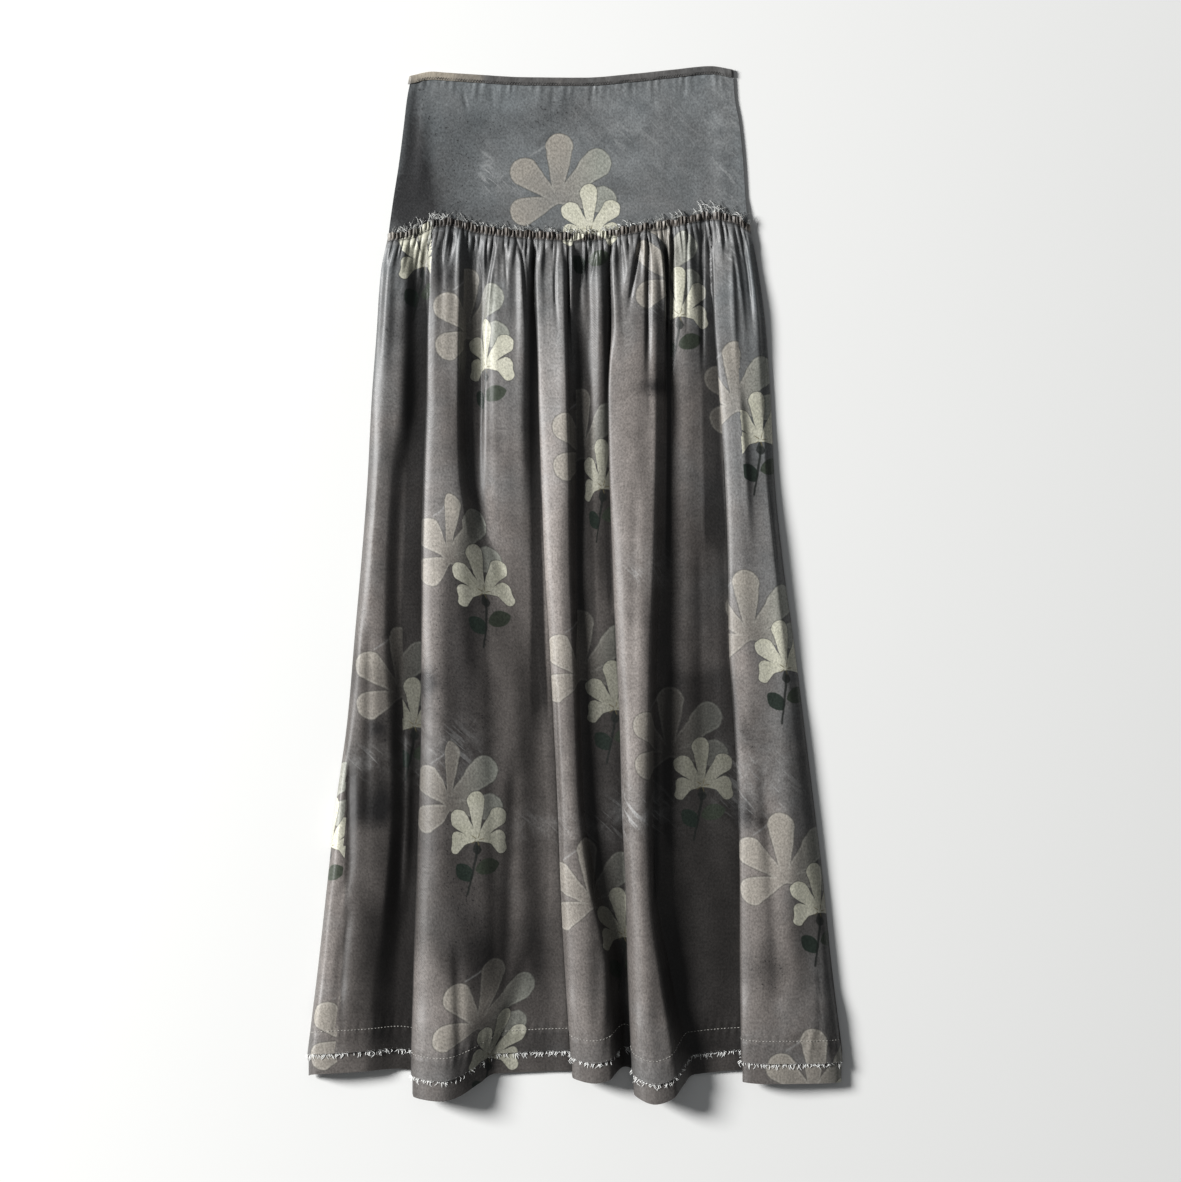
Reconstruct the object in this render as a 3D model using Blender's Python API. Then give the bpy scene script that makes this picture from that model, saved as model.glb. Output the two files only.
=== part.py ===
# A long skirt with a fitted hip yoke and a gathered lower part, laid flat on its back.
#
# The waist points to +Y and the hem to -Y, the front faces +Z and the back rests on z = 0.
# Sizes are in millimetres in this file and become metres in the meshes.
# "down" is the distance below the highest point of the waist, "across" the distance right of
# the middle and "rise" the height over the floor of the folds.

import math

import bpy
import numpy as np

MM = 0.001
WALL = 1.1
GAP = 0.3
LAYER = WALL + GAP
HALF_LENGTH = 517.75

# Hem: the raw edge of the skirt, the stitch line that holds the band and what shows below it
RAW_EDGE_DOWN = 984.0
BAND_OVERLAP = 23.0
BAND_SHOWS = 20.0
BACK_HEM_SHORTER = 10.0
BAND_GAP = 0.5
DROP_STARTS = 640.0

# Header: the frill of seam allowance above the gather stitches
SEAM_DOWN = 172.0
HEADER_HEIGHT = 8.0
HEADER_DEPTH = 2.8
STITCH_DEPTH = 1.8
YOKE_UNDER_SKIRT = 9.0

# Gathers under the seam: a fine set that opens out soon and a wider set that runs further
FINE_GATHERS = 58
FINE_DEPTH = 2.6
FINE_REACH = 42.0
FINE_UNEVEN = 0.16
WIDE_GATHERS = 25
WIDE_DEPTH = 2.4
WIDE_REACH = 150.0
WIDE_UNEVEN = 0.22

# Binding at the waist, and the puckers under it
BINDING_HEIGHT = 8.0
BINDING_WALL = 1.7
BINDING_HOLLOW = 0.4
PUCKERS = 22
PUCKER_DEPTH = 0.7
PUCKER_REACH = 45.0

# Waist edge and gather seam, a row for each place across
TOP_COLUMNS = "across waist seam".split()
TOP_LINES = (
    (-187, 14.0, 176.0),
    (-164, 10.0, 173.0),
    (-143, 6.0, 163.5),
    (-128, 7.0, 161.0),
    (-97, 9.0, 168.0),
    (-52, 11.5, 173.0),
    (8, 12.0, 176.0),
    (60, 8.0, 168.0),
    (98, 4.0, 162.0),
    (136, 0.5, 155.0),
    (158, 4.0, 158.0),
    (176, 6.0, 168.0),
)

# Side edges of the yoke
YOKE_COLUMNS = "down left right".split()
YOKE_SIDES = (
    (0, -163.0, 158.0),
    (25, -168.0, 159.6),
    (50, -171.0, 164.0),
    (89, -176.0, 168.0),
    (127, -182.0, 170.5),
    (165, -187.0, 174.5),
    (190, -190.0, 178.0),
)

# The lower front, a row for each section down its length. A ridge runs along the left side, and
# four folds lap to the left: each has a lip (its left edge), a crest and a foot.
SECTION_COLUMNS = (
    "down left shoulder foot0 lip1 crest1 foot1 lip2 crest2 foot2 lip3 crest3 foot3 lip4 crest4 right"
).split()
SECTIONS = (
    (169, -187, -170, -158, -142, -128, -105, -38, -23, -7, 39, 57, 91, 138, 150, 175),
    (204, -194, -172, -158, -143, -128, -107, -38, -23, -6, 39, 58, 92, 138, 151, 182),
    (264, -198, -174, -158, -147, -129, -109, -37, -22, -4, 37, 59, 93, 139, 152, 190),
    (334, -203, -178, -160, -148, -129, -109, -36, -21, -1, 34, 61, 93, 144, 156, 195),
    (414, -207, -186, -170, -151, -130, -105, -33, -18, 2, 35, 62, 92, 150, 163, 199),
    (494, -213, -190, -174, -153, -130, -75, -30, -16, 2, 38, 62, 89, 153, 168, 207),
    (574, -220, -192, -175, -153, -129, -45, -25, -12, 4, 41, 62, 84, 154, 171, 218),
    (654, -227, -188, -170, -153, -129, -37, -21, -8, 6, 45, 63, 81, 159, 176, 228),
    (734, -238, -186, -168, -155, -130, -33, -17, -4, 9, 47, 63, 79, 163, 181, 238),
    (814, -247, -190, -172, -158, -131, -30, -14, 2, 22, 51, 66, 81, 165, 185, 248),
    (894, -256, -200, -176, -161, -132, -45, -10, 10, 45, 53, 71, 95, 165, 187, 256),
    (984, -267, -212, -178, -163, -133, -80, -4, 19, 50, 57, 80, 119, 166, 190, 267),
)

# The rise of each ridge at those sections, and how far the folds lap over
RIDGE_COLUMNS = "down side fold1 fold2 fold3 fold4 lap".split()
RIDGES = (
    (169, 1.0, 1.5, 1.5, 1.5, 1.5, 0.0),
    (204, 3.0, 6.5, 6.0, 7.0, 5.5, 0.0),
    (264, 5.0, 10.0, 9.0, 11.0, 8.0, 4.0),
    (334, 7.0, 12.5, 10.5, 14.0, 9.5, 8.0),
    (414, 8.0, 14.5, 11.5, 16.0, 10.5, 10.5),
    (494, 9.0, 16.5, 12.5, 17.5, 11.5, 12.0),
    (574, 10.0, 18.0, 13.0, 19.0, 12.0, 13.0),
    (654, 10.5, 19.5, 13.5, 20.0, 12.5, 14.0),
    (734, 11.0, 21.0, 14.0, 21.5, 13.0, 15.0),
    (814, 12.0, 22.5, 15.0, 22.5, 13.5, 16.0),
    (894, 13.0, 24.0, 16.5, 24.0, 14.0, 17.0),
    (984, 13.0, 25.0, 18.0, 26.0, 14.5, 18.0),
)
LAP_SHARES = (1.0, 0.75, 1.0, 0.85)

# Lesser ridges (height over 0) and creases (under 0), each along a line through three points:
# across and down of its start, middle and end, then its half width and its height
SOFT_RIDGES = (
    (-66, 172, -68, 314, -65, 554, 17, 7.0),
    (-3, 176, -3, 224, -2, 274, 5, 3.0),
    (24, 175, 26, 324, 29, 474, 9, 6.0),
    (112, 165, 111, 264, 112, 394, 13, 6.0),
    (112, 354, 113, 574, 115, 794, 11, 2.5),
    (62, 172, 53, 214, 47, 254, 5, 2.0),
    (164, 168, 173, 224, 178, 284, 4, -2.5),
    (-227, 694, -226, 794, -247, 884, 6, -3.0),
    (-226, 834, -234, 914, -237, 1004, 6, -3.0),
    (-95, 600, -92, 780, -90, 960, 13, 2.0),
    (205, 640, 214, 800, 222, 990, 12, 2.5),
)

# How far the hem hangs below its mean line at the named points of a section
HEM_DROPS = {
    "left": 5.0,
    "shoulder": 0.0,
    "foot0": -2.0,
    "under1": 3.0,
    "lip1": 22.0,
    "crest1": 28.0,
    "foot1": 3.0,
    "under2": 0.0,
    "lip2": 4.0,
    "crest2": 11.0,
    "foot2": -4.0,
    "under3": 0.0,
    "lip3": 17.0,
    "crest3": 31.0,
    "foot3": 4.0,
    "under4": -1.0,
    "lip4": 9.0,
    "crest4": 12.0,
    "right": 11.0,
}

COLOURS = {
    "slate_cloth": (0.118, 0.133, 0.146),
    "mauve_cloth": (0.140, 0.127, 0.125),
    "umber_cloth": (0.070, 0.062, 0.055),
    "band_cloth": (0.110, 0.092, 0.083),
}


def curve_through(knots, values, at):
    # A smooth curve through the points (knots, values) that never swings past a neighbour
    knots = np.asarray(knots, float)
    values = np.asarray(values, float)
    widths = np.diff(knots)
    chords = np.diff(values) / widths
    slopes = np.zeros(len(knots))
    slopes[0], slopes[-1] = chords[0], chords[-1]
    product = chords[:-1] * chords[1:]
    total = chords[:-1] + chords[1:]
    turning = (product <= 0) | (total == 0)
    slopes[1:-1] = np.where(turning, 0.0, 2 * product / np.where(turning, 1.0, total))
    at = np.clip(at, knots[0], knots[-1])
    span = np.clip(np.searchsorted(knots, at, side="right") - 1, 0, len(knots) - 2)
    t = (at - knots[span]) / widths[span]
    start = (1 + 2 * t) * (1 - t) ** 2 * values[span]
    start_slope = t * (1 - t) ** 2 * widths[span] * slopes[span]
    end = t * t * (3 - 2 * t) * values[span + 1]
    end_slope = t * t * (1 - t) * widths[span] * slopes[span + 1]
    return start + start_slope + end - end_slope


def ease(value, start, end):
    # 0 before start, 1 after end and a soft step between them
    t = np.clip((value - start) / (end - start), 0.0, 1.0)
    return t * t * (3 - 2 * t)


def read(table, columns, by, name, at):
    # The value in the named column, read smoothly along the column "by"
    rows = np.array(table, float)
    return curve_through(rows[:, columns.index(by)], rows[:, columns.index(name)], at)


def waist_down(across):
    return read(TOP_LINES, TOP_COLUMNS, "across", "waist", across)


def seam_down(across):
    return read(TOP_LINES, TOP_COLUMNS, "across", "seam", across)


def wave_edges(low, high, count, unevenness):
    # Ends of waves of differing widths that fill the stretch from low to high
    turn = np.arange(count)
    widths = 1 + unevenness * (np.sin(2.4 * turn) + 0.5 * np.sin(5.1 * turn + 1))
    return low + (high - low) * np.concatenate(([0], np.cumsum(widths))) / widths.sum()


def waves(across, low, high, count, unevenness):
    # Rounded waves of height 0.7 to 1, with their valleys at 0
    phase = np.interp(across, wave_edges(low, high, count, unevenness), np.arange(count + 1))
    height = 0.85 + 0.15 * np.sin(1.7 * np.floor(phase) + 0.5)
    return 0.5 * (1 - np.cos(2 * math.pi * phase)) * height


def lap_points(lip, crest, height, lap):
    # The floor runs in under the fold, turns back to the lip, rolls over it and rises to the crest.
    # Where nothing laps yet, the same points climb one slope.
    lip_top = 0.45 * height + 2.2 * min(1.0, height / 5)
    turn = 0.18 * lip_top
    roll = 0.32 * lip_top
    low = 2 * turn
    corner = 1 - math.sqrt(0.5)
    folded = (
        ("in", lip + 0.35 * lap - 5.0, 0.0),
        ("under", lip + lap - turn, 0.0),
        ("turn", lip + lap, turn),
        ("back", lip + lap - turn, low),
        ("return", lip + roll + 0.2 * max(lap - turn - roll, 0.0), low),
        ("tuck", lip + corner * roll, low + corner * roll),
        ("lip", lip, low + roll),
        ("roll", lip + corner * roll, low + (2 - corner) * roll),
    )
    climbing = (-5.0, -3.4, -2.4, -1.7, -1.1, -0.6, 0.0, 1.0)
    share = float(ease(lap, 0.5, 2.2 * (turn + roll)))
    points = [
        (name, share * across + (1 - share) * (lip + slope), rise)
        for (name, across, rise), slope in zip(folded, climbing)
    ]
    points.append(("rise", lip + 0.5 * (crest - lip), lip_top + 0.72 * (height - lip_top)))
    points.append(("crest", crest, height))
    return points


class Section:
    # The middle line of the front's wall across the skirt, at one distance down

    def __init__(self, down):
        down = max(down, SECTIONS[0][0])

        def at(name):
            return float(read(SECTIONS, SECTION_COLUMNS, "down", name, down))

        def rise(name):
            return float(read(RIDGES, RIDGE_COLUMNS, "down", name, down))

        side = rise("side")
        left, right = at("left"), at("right")
        points = [
            ("left", left, 0.0),
            ("left_roll", left + 1.8, 0.38 * side),
            ("left_top", left + 7.0, 0.82 * side),
            ("side", 0.5 * (left + at("shoulder")), side),
            ("shoulder", at("shoulder"), 0.86 * side),
            ("foot0", at("foot0"), 0.03 * side),
        ]
        for number, share in enumerate(LAP_SHARES, start=1):
            height = rise(f"fold{number}")
            lip, crest = at(f"lip{number}"), at(f"crest{number}")
            lap = rise("lap") * share
            lapped = lap_points(lip, crest, height, lap)
            before, start = points[-1][1], lapped[0][1]
            if number > 1:
                for name, part in (("near", 1 / 3), ("far", 2 / 3)):
                    points.append((f"{name}{number}", before + part * (start - before), 0.0))
            points += [(f"{name}{number}", across, z) for name, across, z in lapped]
            if number < len(LAP_SHARES):
                foot = at(f"foot{number}")
                width = foot - crest
                steep = 1 - float(ease(width, 25.0, 60.0))
                brow = crest + width * (0.40 + 0.16 * steep)
                points.append((f"brow{number}", brow, height * (0.74 + 0.12 * steep)))
                points.append((f"slope{number}", crest + 0.78 * width, height * (0.27 + 0.1 * steep)))
                points.append((f"foot{number}", foot, 0.03 * height))
        width = right - at("crest4")
        height = rise("fold4")
        points += [
            ("plane", at("crest4") + 0.40 * width, 0.84 * height),
            ("fall", at("crest4") + 0.76 * width, 0.66 * height),
            ("right_top", right - 6.0, 0.44 * height),
            ("right_roll", right - 1.6, 0.2 * height),
            ("right", right, 0.0),
        ]
        self.names = [name for name, across, z in points]
        self.across = np.array([across for name, across, z in points])
        self.rise = np.array([z for name, across, z in points])
        steps = np.hypot(np.diff(self.across), np.diff(self.rise))
        self.chord = np.concatenate(([0], np.cumsum(steps + 0.2)))

    def read(self, marks):
        # across and rise at marks, which count the named points
        where = np.interp(marks, np.arange(len(self.names)), self.chord)
        return (
            curve_through(self.chord, self.across, where),
            curve_through(self.chord, self.rise, where),
        )

    def normals(self, marks):
        # The way out of the front's face, across and up
        step = 0.04
        last = len(self.names) - 1
        ahead = self.read(np.minimum(marks + step, last))
        behind = self.read(np.maximum(marks - step, 0))
        run, climb = ahead[0] - behind[0], ahead[1] - behind[1]
        length = np.hypot(run, climb)
        return -climb / length, run / length

    def marks_by_length(self, longest):
        # Marks at every named point, and between them where a span is longer than that
        marks = []
        for span, length in enumerate(np.diff(self.chord)):
            steps = max(1, math.ceil((length - 0.5 * longest) / longest))
            marks += list(span + np.arange(steps) / steps)
        return np.array(marks + [len(self.names) - 1.0])

    def marks_across(self, places):
        # Marks at the given places across, for a section where nothing laps
        fine = np.arange((len(self.names) - 1) * 12 + 1) / 12
        across = np.maximum.accumulate(self.read(fine)[0] + 1e-6 * np.arange(len(fine)))
        marks = np.interp(places, across, fine)
        marks[0], marks[-1] = fine[0], fine[-1]
        return marks


def soft_relief(across, down):
    # Lesser ridges and creases: a soft bump beside each line of the table
    relief = np.zeros_like(across)
    for across0, down0, across1, down1, across2, down2, half_width, height in SOFT_RIDGES:
        line = curve_through((down0, down1, down2), (across0, across1, across2), down)
        fade_in = ease(down, down0 - 12, down0 + 25)
        fade_out = 1 - ease(down, down0 + 0.45 * (down2 - down0), down2)
        away = (across - line) / half_width
        relief = relief + height * fade_in * fade_out * np.exp(-away * away)
    return relief


def gather_depth(across, below, low, high):
    # Height of the gathers at a distance below the seam, or above it in the header
    if below >= WIDE_REACH:
        return np.zeros_like(across)
    fine = waves(across, low, high, FINE_GATHERS, FINE_UNEVEN)
    if below < 0:
        return fine * (STITCH_DEPTH + (HEADER_DEPTH - STITCH_DEPTH) * ease(-below, 0, HEADER_HEIGHT))
    wide = waves(across, low, high, WIDE_GATHERS, WIDE_UNEVEN)
    fine_depth = STITCH_DEPTH + (FINE_DEPTH - STITCH_DEPTH) * ease(below, 0, 8)
    fine_depth *= 1 - ease(below, 0.25 * FINE_REACH, FINE_REACH)
    wide_depth = WIDE_DEPTH * ease(below, 6, 30) * (1 - ease(below, 60, WIDE_REACH))
    return fine * fine_depth + wide * wide_depth


def front_floor(down):
    # Middle of the front's wall where it lies lowest: on the yokes, on the back, on the bands
    on_back = LAYER + 0.5 * WALL
    on_yoke = 3 * LAYER + 0.5 * WALL
    on_band = 2 * LAYER + WALL + BAND_GAP + 0.5 * WALL
    off_yoke = ease(down, SEAM_DOWN + YOKE_UNDER_SKIRT - 2, SEAM_DOWN + YOKE_UNDER_SKIRT + 24)
    onto_band = ease(down, RAW_EDGE_DOWN - 80, RAW_EDGE_DOWN - 44)
    return on_yoke + (on_back - on_yoke) * off_yoke + (on_band - on_back) * onto_band


def front_row(down, marks, inward=0.0):
    # Outer and inner points of one row of the front wall, or of a wall that lies inward of it
    section = Section(down)
    across, rise = section.read(marks)
    normal_across, normal_up = section.normals(marks)
    low, high = section.across[0], section.across[-1]
    edge = ease(np.minimum(across - low, high - across), 0, 7)
    relief = soft_relief(across, down) * np.clip(normal_up, 0, 1)
    relief = np.maximum(relief, -0.8 * rise)
    lift = (relief + gather_depth(across, down - SEAM_DOWN, low, high)) * edge
    floor = float(front_floor(down))

    # The seam's curve fades out down the skirt, and near the hem each fold hangs lower
    curved = (seam_down(across) - SEAM_DOWN) * (1 - ease(down, SEAM_DOWN + 60, SEAM_DOWN + 420))
    drops = curve_through([section.names.index(name) for name in HEM_DROPS], list(HEM_DROPS.values()), marks)
    drop = drops * ease(down, DROP_STARTS, RAW_EDGE_DOWN - 10) ** 1.4
    y = HALF_LENGTH - down - curved - drop
    walls = []
    for offset in (lift + 0.5 * WALL - inward, lift - 0.5 * WALL - inward):
        walls.append(np.stack([across + normal_across * offset, y, floor + rise + normal_up * offset], 1))
    return walls[0], walls[1], marks


def stitch(first, first_marks, second, second_marks):
    # Faces between two rows of vertices whose marks may differ in number
    faces = []
    i, j = 0, 0
    while i < len(first) - 1 or j < len(second) - 1:
        next_first = first_marks[i + 1] if i < len(first) - 1 else np.inf
        next_second = second_marks[j + 1] if j < len(second) - 1 else np.inf
        if abs(next_first - next_second) < 1e-6:
            faces.append((first[i], second[j], second[j + 1], first[i + 1]))
            i += 1
            j += 1
        elif next_first < next_second:
            faces.append((first[i], second[j], first[i + 1]))
            i += 1
        else:
            faces.append((first[i], second[j], second[j + 1]))
            j += 1
    return faces


def wall(name, rows, colour):
    # A closed wall from rows of (outer points, inner points, marks), the first row at the top
    points, faces, outer, inner = [], [], [], []
    marks = [row[2] for row in rows]
    for top, under, _ in rows:
        outer.append(range(len(points), len(points) + len(top)))
        points += [tuple(point) for point in top]
        inner.append(range(len(points), len(points) + len(under)))
        points += [tuple(point) for point in under]
    for k in range(len(rows) - 1):
        faces += stitch(outer[k], marks[k], outer[k + 1], marks[k + 1])
        faces += [face[::-1] for face in stitch(inner[k], marks[k], inner[k + 1], marks[k + 1])]
        faces.append((outer[k][0], inner[k][0], inner[k + 1][0], outer[k + 1][0]))
        faces.append((outer[k][-1], outer[k + 1][-1], inner[k + 1][-1], inner[k][-1]))
    faces += [face[::-1] for face in stitch(outer[0], marks[0], inner[0], marks[0])]
    faces += stitch(outer[-1], marks[-1], inner[-1], marks[-1])
    return piece(name, points, faces, colour)


def piece(name, points, faces, colour):
    mesh = bpy.data.meshes.new(name)
    mesh.from_pydata([(x * MM, y * MM, z * MM) for x, y, z in points], [], faces)
    mesh.validate()
    mesh.shade_smooth()
    mesh.set_sharp_from_angle(angle=math.radians(50))
    mesh.materials.append(bpy.data.materials.get(colour) or cloth_material(colour))
    made = bpy.data.objects.new(name, mesh)
    bpy.context.scene.collection.objects.link(made)
    return made


def cloth_material(name):
    material = bpy.data.materials.new(name)
    material.use_nodes = True
    surface = material.node_tree.nodes["Principled BSDF"]
    surface.inputs["Base Color"].default_value = (*COLOURS[name], 1.0)
    surface.inputs["Roughness"].default_value = 0.45
    surface.inputs["Metallic"].default_value = 0.0
    return material


def skirt_front():
    rows = []
    for below in (-HEADER_HEIGHT, 0.0, 8.0, 19.0):
        section = Section(SEAM_DOWN + below)
        places = np.interp(
            np.arange(4 * FINE_GATHERS + 1) / 4,
            np.arange(FINE_GATHERS + 1),
            wave_edges(section.across[0], section.across[-1], FINE_GATHERS, FINE_UNEVEN),
        )
        rows.append(front_row(SEAM_DOWN + below, section.marks_across(places)))
    marks = Section(SEAM_DOWN + 60).marks_by_length(4.5)
    for below in (34.0, 58.0, 88.0, 125.0):
        rows.append(front_row(SEAM_DOWN + below, marks))
    marks = Section(700.0).marks_by_length(13.0)
    for down in (350.0, 414.0, 494.0, 574.0, 654.0, 734.0, 814.0, 870.0, 904.0, 932.0):
        rows.append(front_row(down, marks))
    for above in (BAND_OVERLAP, 8.0, 0.0):
        rows.append(front_row(RAW_EDGE_DOWN - above, marks))
    return wall("skirt_front", rows, "mauve_cloth")


def hem_band_front():
    marks = Section(700.0).marks_by_length(13.0)
    downs = (RAW_EDGE_DOWN - BAND_OVERLAP, RAW_EDGE_DOWN - 8, RAW_EDGE_DOWN, RAW_EDGE_DOWN + BAND_SHOWS)
    rows = [front_row(down, marks, inward=WALL + BAND_GAP) for down in downs]
    return wall("hem_band_front", rows, "band_cloth")


def flat_row(across, down, bottom, raised=0.0):
    # One row of a wall that lies flat: its underside at "bottom", its top raised by "raised"
    y = HALF_LENGTH - down
    under = np.stack([across, y, np.zeros_like(across) + bottom], 1)
    top = np.stack([across, y, np.zeros_like(across) + bottom + WALL + raised], 1)
    return top, under, np.linspace(0, 1, len(across))


def yoke(name, bottom, puckers):
    # A yoke panel from under the binding to just under the skirt's top edge, which lifts it
    rows = []
    for t in (0.0, 0.07, 0.17, 0.3, 0.55, 0.75, 0.87, 1.0):
        close = t < 0.3 if puckers else t == 0
        share = np.linspace(0, 1, 3 * PUCKERS + 1 if close else 21)
        left_down = (1 - t) * waist_down(-164.0) + t * seam_down(-186.0)
        right_down = (1 - t) * waist_down(158.0) + t * seam_down(175.0)
        left = read(YOKE_SIDES, YOKE_COLUMNS, "down", "left", left_down)
        right = read(YOKE_SIDES, YOKE_COLUMNS, "down", "right", right_down)
        across = left + (right - left) * share
        top = waist_down(across) + BINDING_HEIGHT + GAP
        low = seam_down(across) + YOKE_UNDER_SKIRT
        down = top + t * (low - top)
        header = seam_down(across) - HEADER_HEIGHT
        near_seam = ease(down, header - 28, header - 6)
        raised = 0.0
        if puckers:
            wave = waves(across, left, right, PUCKERS, WIDE_UNEVEN)
            raised = PUCKER_DEPTH * wave * (1 - ease(down - top, 0, PUCKER_REACH))
            raised = raised * ease(np.minimum(across - left, right - across), 0, 8)
        rows.append(flat_row(across, down, bottom + LAYER * near_seam, raised))
    return wall(name, rows, "slate_cloth")


def skirt_back():
    share = np.linspace(0, 1, 25)
    rows = []
    for down in (SEAM_DOWN - HEADER_HEIGHT, SEAM_DOWN, 204, 264, 334, 414, 494, 574, 654, 734, 814, 894):
        rows.append(back_row(down, share, 0.0))
    rows.append(back_row(RAW_EDGE_DOWN - BACK_HEM_SHORTER, share, 0.0))
    return wall("skirt_back", rows, "mauve_cloth")


def back_row(down, share, bottom):
    section = Section(down)
    across = section.across[0] + (section.across[-1] - section.across[0]) * share
    curved = (seam_down(across) - SEAM_DOWN) * (1 - ease(down, SEAM_DOWN + 60, SEAM_DOWN + 420))
    return flat_row(across, down + curved, bottom)


def hem_band_back():
    share = np.linspace(0, 1, 25)
    edge = RAW_EDGE_DOWN - BACK_HEM_SHORTER
    rows = [back_row(down, share, LAYER) for down in (edge - BAND_OVERLAP, edge, edge + BAND_SHOWS)]
    return wall("hem_band_back", rows, "band_cloth")


def waist_binding():
    # One strip round both yokes: a flattened ring that stands a little proud of them
    share = np.linspace(0, 1, 3 * PUCKERS + 1)
    inner_radius = 0.5 * BINDING_HOLLOW
    outer_radius = inner_radius + BINDING_WALL
    points = []
    rings = []
    for t in (0.0, 0.5, 1.0):
        left = read(YOKE_SIDES, YOKE_COLUMNS, "down", "left", 12.0 + 8 * t)
        right = read(YOKE_SIDES, YOKE_COLUMNS, "down", "right", 8.0 + 8 * t)
        swell = 0.25 * math.sin(math.pi * t)
        for radius in (outer_radius + swell, inner_radius):
            places = left + outer_radius + (right - left - 2 * outer_radius) * share
            front = [(x, outer_radius + radius) for x in places]
            back = [(x, outer_radius - min(radius, outer_radius)) for x in reversed(places)]
            end = (right - outer_radius + radius, outer_radius)
            start = (left + outer_radius - radius, outer_radius)
            ring = []
            for x, z in [*front, end, *back, start]:
                down = waist_down(x) + BINDING_HEIGHT * t
                ring.append(len(points))
                points.append((x, HALF_LENGTH - down, z))
            rings.append(ring)
    count = len(rings[0])
    faces = []
    for k in range(count):
        after = (k + 1) % count
        for level in (0, 2):
            outer, outer_below, inner, inner_below = (rings[level + step] for step in (0, 2, 1, 3))
            faces.append((outer[k], outer_below[k], outer_below[after], outer[after]))
            faces.append((inner[after], inner_below[after], inner_below[k], inner[k]))
        faces.append((rings[1][k], rings[0][k], rings[0][after], rings[1][after]))
        faces.append((rings[4][k], rings[5][k], rings[5][after], rings[4][after]))
    return piece("waist_binding", points, faces, "umber_cloth")


def clear_scene():
    for old in list(bpy.data.objects):
        bpy.data.objects.remove(old, do_unlink=True)


clear_scene()
skirt_back()
hem_band_back()
yoke("yoke_back", bottom=0.0, puckers=False)
yoke("yoke_front", bottom=LAYER, puckers=True)
waist_binding()
hem_band_front()
skirt_front()
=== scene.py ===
import math
from functools import partial
import bpy
import numpy as np
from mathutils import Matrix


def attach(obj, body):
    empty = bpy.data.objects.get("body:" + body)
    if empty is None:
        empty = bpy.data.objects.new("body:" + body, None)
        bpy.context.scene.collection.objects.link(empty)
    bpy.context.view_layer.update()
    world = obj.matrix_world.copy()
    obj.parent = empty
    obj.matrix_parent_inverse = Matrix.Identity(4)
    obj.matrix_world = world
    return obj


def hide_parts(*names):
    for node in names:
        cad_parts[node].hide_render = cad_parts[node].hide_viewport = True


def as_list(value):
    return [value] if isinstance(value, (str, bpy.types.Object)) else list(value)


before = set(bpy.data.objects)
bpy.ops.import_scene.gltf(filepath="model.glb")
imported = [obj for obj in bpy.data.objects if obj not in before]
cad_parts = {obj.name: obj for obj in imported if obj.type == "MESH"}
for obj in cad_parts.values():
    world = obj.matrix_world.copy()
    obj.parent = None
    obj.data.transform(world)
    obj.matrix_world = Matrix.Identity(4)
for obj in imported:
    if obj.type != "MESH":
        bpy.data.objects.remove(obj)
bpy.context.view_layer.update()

# A long skirt laid flat on its back: a fitted hip yoke, and a lower part of satin viscose gathered
# to it. Each cloth is a thin shell on the form of its solid, with more gathers and creases.
# Sizes are millimetres. "down" is below the waist's highest point, "across" is right of the middle
# and "below" is under the gather seam.
mm = 0.001
solidWall = 1.1
layer = 1.4
clothWall = 0.6
halfLength = 517.75
seamDown = 172.0
rawEdgeDown = 984.0

topColumns = "across waist seam".split()
topLines = (
    (-187, 14.0, 176.0),
    (-164, 10.0, 173.0),
    (-143, 6.0, 163.5),
    (-128, 7.0, 161.0),
    (-97, 9.0, 168.0),
    (-52, 11.5, 173.0),
    (8, 12.0, 176.0),
    (60, 8.0, 168.0),
    (98, 4.0, 162.0),
    (136, 0.5, 155.0),
    (158, 4.0, 158.0),
    (176, 6.0, 168.0),
)

yokeColumns = "down left right".split()
yokeSides = (
    (0, -163.0, 158.0),
    (25, -168.0, 159.6),
    (50, -171.0, 164.0),
    (89, -176.0, 168.0),
    (127, -182.0, 170.5),
    (165, -187.0, 174.5),
    (190, -190.0, 178.0),
)

# The lower front across the skirt: a ridge along the left, then four folds that lap to the left,
# each with a lip, a crest and a foot
sectionColumns = (
    "down left shoulder foot0 lip1 crest1 foot1 lip2 crest2 foot2 lip3 crest3 foot3 lip4 crest4 right"
).split()
sectionRows = (
    (169, -187, -170, -158, -142, -128, -105, -38, -23, -7, 39, 57, 91, 138, 150, 175),
    (204, -194, -172, -158, -143, -128, -107, -38, -23, -6, 39, 58, 92, 138, 151, 182),
    (264, -198, -174, -158, -147, -129, -109, -37, -22, -4, 37, 59, 93, 139, 152, 190),
    (334, -203, -178, -160, -148, -129, -109, -36, -21, -1, 34, 61, 93, 144, 156, 195),
    (414, -207, -186, -170, -151, -130, -105, -33, -18, 2, 35, 62, 92, 150, 163, 199),
    (494, -213, -190, -174, -153, -130, -75, -30, -16, 2, 38, 62, 89, 153, 168, 207),
    (574, -220, -192, -175, -153, -129, -45, -25, -12, 4, 41, 62, 84, 154, 171, 218),
    (654, -227, -188, -170, -153, -129, -37, -21, -8, 6, 45, 63, 81, 159, 176, 228),
    (734, -238, -186, -168, -155, -130, -33, -17, -4, 9, 47, 63, 79, 163, 181, 238),
    (814, -247, -190, -172, -158, -131, -30, -14, 2, 22, 51, 66, 81, 165, 185, 248),
    (894, -256, -200, -176, -161, -132, -45, -10, 10, 45, 53, 71, 95, 165, 187, 256),
    (984, -267, -212, -178, -163, -133, -80, -4, 19, 50, 57, 80, 119, 166, 190, 267),
)

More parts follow.
